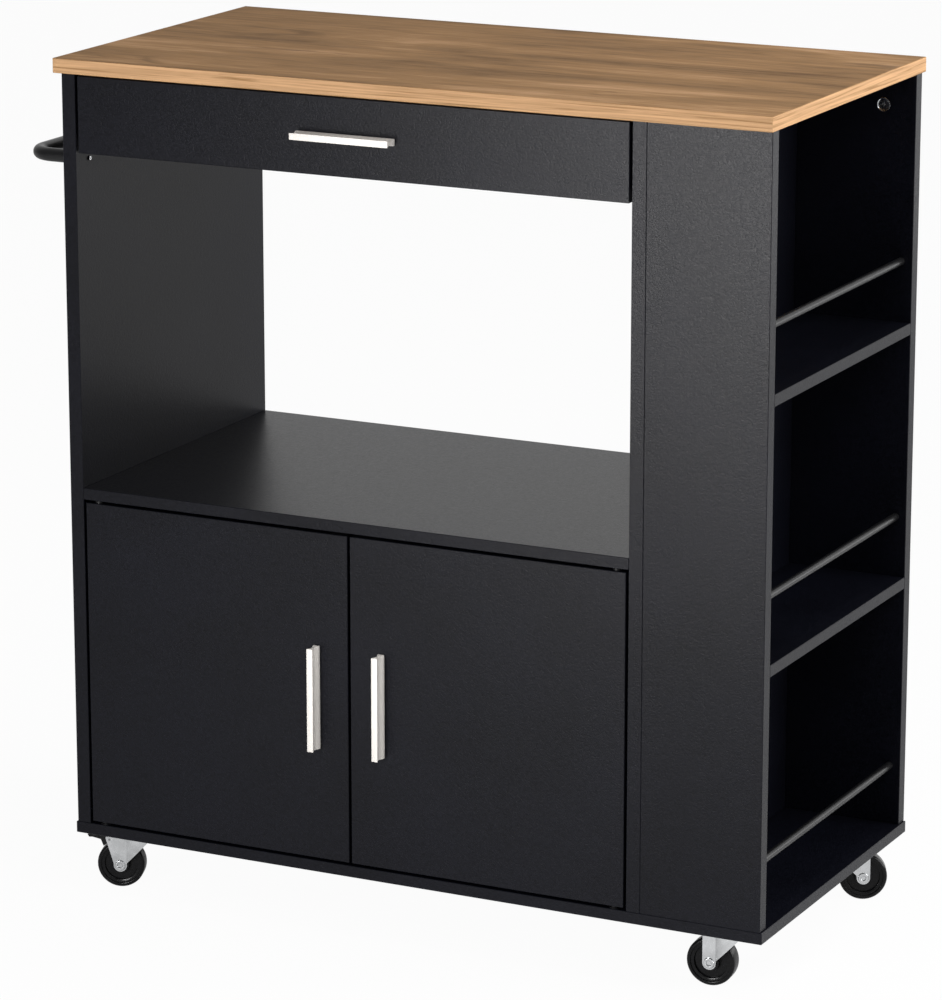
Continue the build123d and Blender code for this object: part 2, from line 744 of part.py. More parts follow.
drawer_handle_end = (bay_middle - handle_length / 2, carcass_front, drawer_handle_z)
drawer_handle_section = Plane(drawer_handle_end, x_dir=up, z_dir=east)
save(bar_handle(drawer_handle_section, onto_front(drawer_screw_planes)), "drawer_handle")
save(handle_screws(drawer_screw_planes), "drawer_handle_screws")

# Left door, its handle, pivot pins and strike plate; the right door is its mirror image
door_handle_x = door_right - door_handle_inset
door_handle_z = (door_bottom + door_top) / 2
door_screw_planes = [Plane((door_handle_x, front_inner, door_handle_z + offset), z_dir=north)
                     for offset in handle_screw_offsets]
door_handle_foot = (door_handle_x, carcass_front, door_handle_z - handle_length / 2)
door_handle_section = Plane(door_handle_foot, x_dir=west, z_dir=up)
upper_pin_plane = Plane((pivot_x, pivot_y, door_top), z_dir=up)
lower_pin_plane = Plane((pivot_x, pivot_y, door_bottom), z_dir=down)
pin_planes = [upper_pin_plane, lower_pin_plane]

with BuildPart() as left_door:
    slab((door_left, carcass_front, door_bottom), (door_right, front_inner, door_top))
    drill(door_screw_planes, handle_screw_radius + running_clearance, upright_thickness + cut_overrun)
    drill(pin_planes, pivot_radius + running_clearance, pivot_door_depth)

left_door_handle = bar_handle(door_handle_section, onto_front(door_screw_planes))
left_door_handle_screws = handle_screws(door_screw_planes)

# Each pin has a collar that runs on its bush's flange
with BuildPart() as left_door_pins:
    headed_screws(pin_planes, pivot_radius, pivot_door_depth, pivot_collar_radius,
                  front_gap - bush_flange - seat_clearance)
    pegs(pin_planes, pivot_radius, front_gap + pivot_bush_reach)

strike_top = door_top - strike_inset
strike_right = door_right - strike_inset
with BuildPart() as left_door_strike:
    slab((strike_right - strike_width, front_inner, strike_top - strike_height),
         (strike_right, front_inner + strike_thickness, strike_top), strike_bevel)

left_door_pieces = {
    "door": left_door, "door_handle": left_door_handle, "door_handle_screws": left_door_handle_screws,
    "door_pins": left_door_pins, "door_strike": left_door_strike,
}
for name, piece in left_door_pieces.items():
    save(piece, f"left_{name}")
    with BuildPart() as right_piece:
        mirror(piece.part, about=mirror_plane)
    save(right_piece, f"right_{name}")

# Half widths of the forks and the level of the kingpins' heads
fork_inner = wheel_hub_width / 2 + fork_side_gap
fork_outer = fork_inner + fork_sheet
kingpin_head_top = crown_bottom - seat_clearance


def side_plane(swivel, offset):
    """Gives an upright plane across a caster: x to the trailing wheel, y up, looking to the near side."""
    return Plane(swivel.origin + swivel.y_dir * offset, x_dir=swivel.x_dir, z_dir=-swivel.y_dir)


def caster_plate(swivel):
    """Builds a top plate with its race and the riveted kingpin hanging under it."""
    level = Plane(swivel.origin, z_dir=up)
    with BuildPart() as plate:
        with BuildSketch(level.offset(plate_bottom)):
            RectangleRounded(plate_length, plate_width, plate_corner)
            with GridLocations(*plate_hole_spans, 2, 2):
                Circle(plate_hole_radius, mode=Mode.SUBTRACT)
        extrude(amount=plate_thickness)
        with BuildSketch(level.offset(plate_bottom)):
            Circle(plate_dish_radius)
        extrude(amount=-plate_dish, taper=race_taper)
        with BuildSketch(level.offset(plate_bottom)):
            Circle(kingpin_radius)
        extrude(amount=kingpin_head_top - plate_bottom)
        with BuildSketch(level.offset(kingpin_head_top)):
            Circle(kingpin_head_radius)
        extrude(amount=-kingpin_head)
    return plate


def caster_fork(swivel, braked):
    """Builds a pressed fork: crown with its race, two tapering legs, the axle riveted across them."""
    reach = brake_pin_forward + brake_ear if braked else fork_reach
    axle_cap = fork_outer + axle_head
    pin_centre = (caster_trail + brake_pin_forward, 2 * wheel_radius + brake_pin_gap)
    with BuildPart() as fork:
        with BuildSketch(swivel.offset(crown_bottom)):
            Circle(fork_crown_radius)
            with Locations((-fork_heel, 0)):
                Rectangle(fork_heel + caster_trail + fork_reach, 2 * fork_outer,
                          align=(Align.MIN, Align.CENTER))
            Circle(kingpin_radius + running_clearance, mode=Mode.SUBTRACT)
        extrude(amount=fork_sheet)
        with BuildSketch(swivel.offset(crown_top)):
            Circle(fork_dish_radius)
            Circle(kingpin_radius + running_clearance, mode=Mode.SUBTRACT)
        extrude(amount=fork_dish)
        for near_face in (fork_outer, -fork_inner):
            with BuildSketch(side_plane(swivel, near_face)):
                with Locations((caster_trail, wheel_radius)):
                    Circle(fork_toe_radius)
                with Locations((-fork_heel, crown_bottom)):
                    Rectangle(fork_heel + caster_trail + reach, fork_sheet, align=(Align.MIN, Align.MIN))
                make_hull()
            extrude(amount=fork_sheet)
        with BuildSketch(side_plane(swivel, axle_cap)):
            with Locations((caster_trail, wheel_radius)):
                Circle(axle_radius)
        extrude(amount=2 * axle_cap)
        for near_face in (axle_cap, -fork_outer):
            with BuildSketch(side_plane(swivel, near_face)):
                with Locations((caster_trail, wheel_radius)):
                    Circle(axle_head_radius)
            extrude(amount=axle_head)
        if braked:
            with BuildSketch(side_plane(swivel, fork_outer)):
                with Locations(pin_centre):
                    Circle(brake_pin_radius)
            extrude(amount=2 * fork_outer)
    return fork


def caster_wheel(swivel):
    """Builds a moulded wheel: rim with a rounded tread, thin web, and a hub on the axle."""
    centre = swivel.origin + swivel.x_dir * caster_trail + swivel.z_dir * wheel_radius
    section_plane = Plane(centre, x_dir=swivel.x_dir, z_dir=swivel.z_dir)
    bore = axle_radius + running_clearance
    rim_inner = wheel_radius - wheel_rim
    shoulder_radius = wheel_radius - tread_round
    tread_half = wheel_width / 2
    shoulder_half = tread_half - tread_round
    with BuildPart() as wheel:
        with BuildSketch(section_plane) as section:
            with BuildLine():
                Polyline((bore, 0), (bore, wheel_hub_width / 2), (wheel_hub_radius, wheel_hub_width / 2),
                         (wheel_hub_radius, wheel_web_width / 2), (rim_inner, wheel_web_width / 2),
                         (rim_inner, tread_half), (shoulder_radius, tread_half))
                RadiusArc((shoulder_radius, tread_half), (wheel_radius, shoulder_half), tread_round)
                Line((wheel_radius, shoulder_half), (wheel_radius, 0))
                mirror(about=Plane.XZ)
            make_face()
        revolve(section.sketch, axis=Axis(centre, swivel.y_dir))
    return wheel


def brake_pedal(swivel):
    """Builds a foot pedal on the fork's brake pin, with a shoe that swings down to the tread."""
    half_width = fork_inner - brake_side_gap
    pin_x = caster_trail + brake_pin_forward
    pin_z = 2 * wheel_radius + brake_pin_gap
    tip = (pin_x + brake_reach, pin_z + brake_lift)
    shoe_radius = wheel_radius + brake_shoe_gap
    shoe_angles = (brake_shoe_start, (brake_shoe_start + brake_shoe_end) / 2, brake_shoe_end)
    shoe_arc = []
    for angle in shoe_angles:
        shoe_arc.append((caster_trail + shoe_radius * cos(radians(angle)),
                         wheel_radius + shoe_radius * sin(radians(angle))))
    tread_start = tip[0] - brake_tread_length
    tread_low = tip[1] - brake_arm / 2
    with BuildPart() as pedal:
        with BuildSketch(side_plane(swivel, half_width)):
            with Locations((pin_x, pin_z)):
                Circle(brake_boss_radius)
            with Locations(tip):
                Circle(brake_arm / 2)
            make_hull()
            with BuildLine():
                Line((pin_x, pin_z), shoe_arc[2])
                ThreePointArc(*reversed(shoe_arc))
                Line(shoe_arc[0], (pin_x + brake_tread_length, pin_z))
                Line((pin_x + brake_tread_length, pin_z), (pin_x, pin_z))
            make_face()
            with Locations((pin_x, pin_z)):
                Circle(brake_pin_radius + running_clearance, mode=Mode.SUBTRACT)
        extrude(amount=2 * half_width)
        with BuildSketch(side_plane(swivel, half_width + brake_tread_overhang)):
            with Locations((tread_start, tread_low)):
                RectangleRounded(brake_tread_length, brake_arm, brake_tread_corner,
                                 align=(Align.MIN, Align.MIN))
        extrude(amount=2 * (half_width + brake_tread_overhang))
    return pedal


for corner, swivel in swivels.items():
    save(caster_plate(swivel), f"caster_plate_{corner}")
    save(caster_fork(swivel, corner in braked_casters), f"caster_fork_{corner}")
    save(caster_wheel(swivel), f"caster_wheel_{corner}")
for corner in braked_casters:
    save(brake_pedal(swivels[corner]), f"brake_pedal_{corner}")
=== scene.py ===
import json
from math import atan2, pi, radians

import bmesh
import bpy
from mathutils import Matrix, Vector


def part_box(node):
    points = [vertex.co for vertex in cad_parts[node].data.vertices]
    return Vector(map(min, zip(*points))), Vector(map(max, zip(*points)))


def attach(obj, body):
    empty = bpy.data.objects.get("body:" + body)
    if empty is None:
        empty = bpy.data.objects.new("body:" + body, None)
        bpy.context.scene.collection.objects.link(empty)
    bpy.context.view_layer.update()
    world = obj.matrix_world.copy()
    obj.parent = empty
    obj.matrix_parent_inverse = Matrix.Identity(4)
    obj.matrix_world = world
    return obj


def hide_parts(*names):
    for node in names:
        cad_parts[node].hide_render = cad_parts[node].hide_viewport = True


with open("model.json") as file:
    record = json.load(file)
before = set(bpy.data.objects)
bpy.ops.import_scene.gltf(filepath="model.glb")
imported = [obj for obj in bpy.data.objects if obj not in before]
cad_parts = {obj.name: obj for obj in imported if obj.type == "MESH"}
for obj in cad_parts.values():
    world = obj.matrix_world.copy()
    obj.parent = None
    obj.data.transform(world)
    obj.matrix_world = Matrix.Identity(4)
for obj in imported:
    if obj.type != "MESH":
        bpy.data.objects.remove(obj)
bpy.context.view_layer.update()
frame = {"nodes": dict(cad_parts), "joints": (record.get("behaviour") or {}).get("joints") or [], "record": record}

bl_info = {
    "name": "Kitchen cart",
    "version": (1, 0, 0),
    "blender": (4, 5, 0),
    "location": "3D View > Sidebar > Kitchen cart",
    "description": "Models the cart's fittings, finishes every piece and sets its stage",
    "category": "Object",
}

CORNERS = ("front_left", "front_right", "back_left", "back_right")
BRAKED = ("front_left", "back_left")
OUT, UP, EAST = Vector((0.0, -1.0, 0.0)), Vector((0.0, 0.0, 1.0)), Vector((1.0, 0.0, 0.0))
NOISE_SPAN = (0.3, 0.7)  # a noise pattern lies mostly between these values
WELD = 0.000002  # vertices closer than this are one
NEAR = 0.0001  # a vertex closer than this to a place is at it


class CartBoards(bpy.types.PropertyGroup):
    """Colours of the laminated boards."""

    oak_dark: bpy.props.FloatVectorProperty(
        name="Oak, dark grain", description="Colour of the darkest grain of the worktop",
        subtype="COLOR", size=3, min=0.0, max=1.0, default=(0.120, 0.063, 0.027))
    oak_middle: bpy.props.FloatVectorProperty(
        name="Oak, middle", description="Main colour of the worktop",
        subtype="COLOR", size=3, min=0.0, max=1.0, default=(0.330, 0.186, 0.083))
    oak_light: bpy.props.FloatVectorProperty(
        name="Oak, light grain", description="Colour of the lightest grain of the worktop",
        subtype="COLOR", size=3, min=0.0, max=1.0, default=(0.520, 0.310, 0.162))
    laminate: bpy.props.FloatVectorProperty(
        name="Black laminate", description="Colour of the black boards",
        subtype="COLOR", size=3, min=0.0, max=1.0, default=(0.0028, 0.0031, 0.0056))
    drawer_board: bpy.props.FloatVectorProperty(
        name="Drawer board", description="Colour of the foil on the drawer's sides and back",
        subtype="COLOR", size=3, min=0.0, max=1.0, default=(0.030, 0.030, 0.032))
    hardboard: bpy.props.FloatVectorProperty(
        name="Hardboard", description="Colour of the thin sheets at the back and in the drawer",
        subtype="COLOR", size=3, min=0.0, max=1.0, default=(0.020, 0.019, 0.019))


class CartFittings(bpy.types.PropertyGroup):
    """Colours and edge sizes of the metal and plastic fittings."""

    aluminium: bpy.props.FloatVectorProperty(
        name="Aluminium", description="Colour of the bar handles",
        subtype="COLOR", size=3, min=0.0, max=1.0, default=(0.86, 0.82, 0.775))
    zinc: bpy.props.FloatVectorProperty(
        name="Zinc", description="Colour of the plated steel",
        subtype="COLOR", size=3, min=0.0, max=1.0, default=(0.60, 0.61, 0.62))
    coating: bpy.props.FloatVectorProperty(
        name="Black coating", description="Colour of the coated rails and the towel bar",
        subtype="COLOR", size=3, min=0.0, max=1.0, default=(0.0055, 0.0055, 0.0060))
    wheel: bpy.props.FloatVectorProperty(
        name="Wheel plastic", description="Colour of the wheels and pedals",
        subtype="COLOR", size=3, min=0.0, max=1.0, default=(0.0045, 0.0045, 0.0050))
    nylon: bpy.props.FloatVectorProperty(
        name="Nylon", description="Colour of the rollers and bushes",
        subtype="COLOR", size=3, min=0.0, max=1.0, default=(0.72, 0.70, 0.66))
    handle_edge: bpy.props.FloatProperty(
        name="Handle edge", description="Rounding of the handles' edges",
        unit="LENGTH", min=0.0, default=0.0005)
    fork_edge: bpy.props.FloatProperty(
        name="Fork edge", description="Rounding of the pressed forks' edges",
        unit="LENGTH", min=0.0, default=0.0005)


class CartStage(bpy.types.PropertyGroup):
    """Camera, lamps and floor."""

    camera_place: bpy.props.FloatVectorProperty(
        name="Camera place", description="Where the camera stands",
        subtype="TRANSLATION", size=3, default=(2.0304, -4.0698, 1.5983))
    camera_azimuth: bpy.props.FloatProperty(
        name="Azimuth", description="Turn of the camera from looking straight at the front",
        subtype="ANGLE", default=radians(26.417))
    camera_elevation: bpy.props.FloatProperty(
        name="Elevation", description="Angle of the camera above the horizon",
        subtype="ANGLE", default=radians(14.511))
    camera_lens: bpy.props.FloatProperty(
        name="Lens", description="Focal length of the camera",
        unit="CAMERA", default=165.0)
    side_power: bpy.props.FloatProperty(
        name="Side lamp", description="Power of the lamp on the right",
        unit="POWER", min=0.0, default=38.0)
    front_power: bpy.props.FloatProperty(
        name="Front lamp", description="Power of the lamp in front on the right",
        unit="POWER", min=0.0, default=14.0)
    low_power: bpy.props.FloatProperty(
        name="Low lamp", description="Power of the low lamp in front that shows in the satin boards",
        unit="POWER", min=0.0, default=35.0)
    back_power: bpy.props.FloatProperty(
        name="Back lamp", description="Power of the low lamp behind on the right that shows in the edges",
        unit="POWER", min=0.0, default=5.0)
    top_power: bpy.props.FloatProperty(
        name="Top lamp", description="Power of the lamp above",
        unit="POWER", min=0.0, default=43.0)


class Nodes:
    """A node tree that is put together node by node."""

    def __init__(self, tree):
        self.tree = tree

    def feed(self, socket, value):
        """Links a socket into another, or sets its value."""
        if isinstance(value, bpy.types.NodeSocket):
            self.tree.links.new(value, socket)
        else:
            socket.default_value = value

    def node(self, kind, inputs=None, **settings):
        """Adds a node with its settings and inputs."""
        made = self.tree.nodes.new(kind)
        for key, value in settings.items():
            setattr(made, key, value)
        for key, value in (inputs or {}).items():
            self.feed(made.inputs[key], value)
        return made

    def fit(self, value, low, high, to_low=0.0, to_high=1.0):
        """Maps a value from one range to another."""
        inputs = {"Value": value, "From Min": low, "From Max": high, "To Min": to_low, "To Max": to_high}
        return self.node("ShaderNodeMapRange", inputs).outputs["Result"]

    def calc(self, kind, first, second=0.0):
        """Does one sum on two values."""
        return self.node("ShaderNodeMath", {0: first, 1: second}, operation=kind).outputs[0]


class Finish(Nodes):
    """One procedural material, made from the object's own coordinates."""

    def __init__(self, name):
        material = bpy.data.materials.new(f"finish_{name}")
        material.use_nodes = True
        super().__init__(material.node_tree)
        self.shader = self.tree.nodes["Principled BSDF"]
        coordinates = self.node("ShaderNodeTexCoord")
        self.place = coordinates.outputs["Object"]
        self.facing = coordinates.outputs["Normal"]

    def noise(self, scale, detail=2.0, roughness=0.5, distortion=0.0, place=None):
        """Gives a noise pattern with a scale for each axis, in features per metre."""
        stretched = self.node("ShaderNodeMapping", {"Vector": place or self.place, "Scale": scale})
        inputs = {"Vector": stretched.outputs["Vector"], "Scale": 1.0, "Detail": detail,
                  "Roughness": roughness, "Distortion": distortion}
        return self.node("ShaderNodeTexNoise", inputs).outputs["Fac"]

    def mix(self, share, first, second):
        """Mixes two colours."""
        inputs = {0: share, 6: first, 7: second}
        return self.node("ShaderNodeMix", inputs, data_type="RGBA").outputs[2]

    def ramp(self, value, stops):
        """Turns a value into a colour by stops of (place, colour)."""
        made = self.node("ShaderNodeValToRGB", {"Fac": value})
        band = made.color_ramp
        while len(band.elements) < len(stops):
            band.elements.new(1.0)
        for element, (place, colour) in zip(band.elements, stops):
            element.position = place
            element.color = colour
        return made.outputs["Color"]

    def bump(self, height, distance, strength):
        """Adds a fine relief to the shader's normal."""
        made = self.node("ShaderNodeBump", {"Strength": strength, "Distance": distance, "Height": height})
        self.set(Normal=made.outputs["Normal"])

    def set(self, **values):
        """Sets the shader's sockets by name, with underscores for spaces."""
        for key, value in values.items():
            self.feed(self.shader.inputs[key.replace("_", " ")], value)


def opaque(colour, share=1.0):
    """Gives a colour as four numbers, darkened or lightened by a share."""
    return tuple(min(1.0, channel * share) for channel in colour) + (1.0,)


def finish_called(name):
    """Finds a finish that an earlier step has made."""
    return bpy.data.materials[f"finish_{name}"]


def paint(node_names, material):
    """Gives a finish to nodes that keep their shape."""
    for name in node_names:
        node = frame["nodes"][name]
        if not node.material_slots:
            node.data.materials.append(material)
        for holder in node.material_slots:
            holder.material = material


def clear_selection():
    """Leaves edit mode and deselects everything."""
    if bpy.context.mode != "OBJECT":
        bpy.ops.object.mode_set(mode="OBJECT")
    bpy.ops.object.select_all(action="DESELECT")


def choose(piece):
    """Makes a piece the only selected one."""
    clear_selection()
    piece.select_set(True)
    bpy.context.view_layer.objects.active = piece


def open_mesh(piece):
    """Opens a piece in edit mode with nothing selected."""
    choose(piece)
    bpy.ops.object.mode_set(mode="EDIT")
    bpy.ops.mesh.select_all(action="DESELECT")


def pick(piece, kind, test):
    """Selects the vertices, edges or faces of the open piece that pass a test."""
    bpy.ops.mesh.select_all(action="DESELECT")
    bpy.ops.mesh.select_mode(type=kind)
    shape = bmesh.from_edit_mesh(piece.data)
    for item in {"VERT": shape.verts, "EDGE": shape.edges, "FACE": shape.faces}[kind]:
        if test(item):
            item.select_set(True)
    shape.select_flush_mode()
    bmesh.update_edit_mesh(piece.data)


def middle_of(item):
    """Gives the middle of an edge or a face."""
    if hasattr(item, "calc_center_median"):
        return item.calc_center_median()
    return sum((vertex.co for vertex in item.verts), Vector()) / len(item.verts)


def tidy_mesh(piece):
    """Joins doubled vertices, turns the faces outwards and leaves edit mode."""
    bpy.ops.mesh.select_all(action="SELECT")
    bpy.ops.mesh.remove_doubles(threshold=WELD)
    bpy.ops.mesh.normals_make_consistent(inside=False)
    bpy.ops.object.mode_set(mode="OBJECT")


def use_modifier(piece, kind, **settings):
    """Adds a modifier and applies it."""
    choose(piece)
    modifier = piece.modifiers.new(kind.lower(), kind)
    for key, value in settings.items():
        setattr(modifier, key, value)
    bpy.ops.object.modifier_apply(modifier=modifier.name)


def round_edges(piece, width, segments=2, angle=35.0):
    """Rounds a piece's sharp edges."""
    use_modifier(piece, "BEVEL", width=width, segments=segments, limit_method="ANGLE",
                 angle_limit=radians(angle), use_clamp_overlap=True)


def smooth(piece, angle=32.0):
    """Smooths a piece's shading except across sharp edges."""
    choose(piece)
    bpy.ops.object.shade_smooth_by_angle(angle=radians(angle))


def settle(piece, matrix):
    """Puts a piece in its place and applies the place to its mesh."""
    choose(piece)
    piece.matrix_world = matrix
    bpy.ops.object.transform_apply(location=True, rotation=True, scale=True)


def copy_of(piece, name):
    """Copies a piece with a mesh of its own."""
    twin = piece.copy()
    twin.data = piece.data.copy()
    twin.name = name
    twin.data.name = name
    bpy.context.collection.objects.link(twin)
    return twin


def discard(piece):
    """Removes a pattern piece that has been copied."""
    bpy.data.objects.remove(piece, do_unlink=True)


def join(pieces, name):
    """Joins pieces into one object with a name."""
    clear_selection()
    for piece in pieces:
        piece.select_set(True)
    bpy.context.view_layer.objects.active = pieces[0]
    bpy.ops.object.join()
    joined = bpy.context.object
    joined.name = name
    joined.data.name = name
    return joined


def hand_over(piece, material_name, body, *nodes):
    """Gives a finished piece its material, its body and the nodes it stands for."""
    piece.data.materials.clear()
    piece.data.materials.append(finish_called(material_name))
    for face in piece.data.polygons:
        face.material_index = 0
    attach(piece, body)
    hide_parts(*nodes)


def frame_matrix(origin, first, second, third):
    """Gives the matrix that carries X, Y and Z to three directions from an origin."""
    matrix = Matrix((first, second, third)).transposed().to_4x4()
    matrix.translation = origin
    return matrix


def turned(name, outline, segments=48, ring=False):
    """Turns an outline of (radius, height) points about Z: a circle is drawn out in steps, then closed."""
    clear_selection()
    radius, height = outline[0]
    bpy.ops.mesh.primitive_circle_add(vertices=segments, radius=radius, location=(0.0, 0.0, height))
    piece = bpy.context.object
    piece.name = name
    bpy.ops.object.transform_apply(location=True)
    bpy.ops.object.mode_set(mode="EDIT")
    bpy.ops.mesh.select_all(action="SELECT")
    for next_radius, next_height in outline[1:]:
        step = {"value": (0.0, 0.0, next_height - height)}
        bpy.ops.mesh.extrude_region_move(TRANSFORM_OT_translate=step)
        share = next_radius / radius
        bpy.ops.transform.resize(value=(share, share, 1.0), center_override=(0.0, 0.0, next_height))
        radius, height = next_radius, next_height
    if ring:
        pick(piece, "EDGE", lambda edge: edge.is_boundary)
        bpy.ops.mesh.bridge_edge_loops()
    else:
        bpy.ops.mesh.edge_face_add()
        pick(piece, "EDGE", lambda edge: edge.is_boundary)
        bpy.ops.mesh.edge_face_add()
    tidy_mesh(piece)
    return piece


def both_sides(half):
    """Makes an outline of (radius, height) points from its upper half."""
    return [(radius, -height) for radius, height in reversed(half)] + list(half)


def solids_of(node_name):
    """Gives the points of each separate solid of a node."""
    mesh = frame["nodes"][node_name].data
    group = {}

    def leader(key):
        while group[key] != key:
            key = group[key]
        return key

    keys = [tuple(round(value, 6) for value in vertex.co) for vertex in mesh.vertices]
    for key in keys:
        group.setdefault(key, key)
    for face in mesh.polygons:
        first = leader(keys[face.vertices[0]])
        for index in face.vertices[1:]:
            group[leader(keys[index])] = first
    solids = {}
    for key in group:
        solids.setdefault(leader(key), []).append(Vector(key))
    return list(solids.values())


def axis_frame(points):
    """Gives a turned solid's frame, Z along its axis to the wider end, and its length and greatest radius."""
    low = Vector(min(point[k] for point in points) for k in range(3))
    high = Vector(max(point[k] for point in points) for k in range(3))
    size, middle = high - low, (low + high) / 2

    def oddness(k):
        return min(abs(size[k] - size[other]) for other in range(3) if other != k)

    along = max(range(3), key=oddness)
    radius = size[(along + 1) % 3] / 2
    axis = Vector(1.0 if k == along else 0.0 for k in range(3))
    wide = [(point - middle).dot(axis) for point in points
            if ((point - middle) - axis * (point - middle).dot(axis)).length > 0.9 * radius]
    if sum(wide) < 0.0:
        axis = -axis
    side = Vector(1.0 if k == (along + 1) % 3 else 0.0 for k in range(3))
    return frame_matrix(middle, side, axis.cross(side), axis), size[along], radius


def cut_recess(piece, height, reach, depth, sides):
    """Sinks a driver's recess into the top of a screw: a cross, or a socket with flat sides."""
    blade_share, taper = 0.42, 0.55
    tools = []
    clear_selection()
    if sides:
        bpy.ops.mesh.primitive_cylinder_add(vertices=sides, radius=reach, depth=2.0 * depth,
                                            location=(0.0, 0.0, height))
        tools.append(bpy.context.object)
    else:
        for turn in (0.0, pi / 2):
            clear_selection()
            bpy.ops.mesh.primitive_cube_add(size=1.0, location=(0.0, 0.0, height),
                                            rotation=(0.0, 0.0, turn))
            blade = bpy.context.object
            blade.scale = (2.0 * reach, blade_share * reach, 2.0 * depth)
            bpy.ops.object.transform_apply(location=True, rotation=True, scale=True)
            open_mesh(blade)
            pick(blade, "FACE", lambda face: face.normal.z < -0.9)
            bpy.ops.transform.resize(value=(taper, taper, 1.0), center_override=(0.0, 0.0, height - depth))
            tidy_mesh(blade)
            tools.append(blade)
    for tool in tools:
        use_modifier(piece, "BOOLEAN", operation="DIFFERENCE", object=tool, solver="EXACT")
        discard(tool)


def repeat_at(pattern, node_name, piece_name, material_name, body):
    """Puts a copy of a turned pattern at each solid of a node and hands the group over."""
    copies = []
    for points in solids_of(node_name):
        twin = copy_of(pattern, piece_name)
        settle(twin, axis_frame(points)[0])
        copies.append(twin)
    group = join(copies, piece_name)
    hand_over(group, material_name, body, node_name)


def joint_called(name):
    """Finds a joint of the frame by name."""
    return next(joint for joint in frame["joints"] if joint["name"] == name)


def caster_matrix(corner):
    """Gives a caster's own frame: origin on the floor under the kingpin, X to the wheel, Z up."""
    kingpin = Vector(joint_called(f"swivel_{corner}_turn")["pos_m"])
    hub = Vector(joint_called(f"wheel_{corner}_roll")["pos_m"])
    angle = atan2(hub.y - kingpin.y, hub.x - kingpin.x)
    return Matrix.Translation((kingpin.x, kingpin.y, 0.0)) @ Matrix.Rotation(angle, 4, "Z")


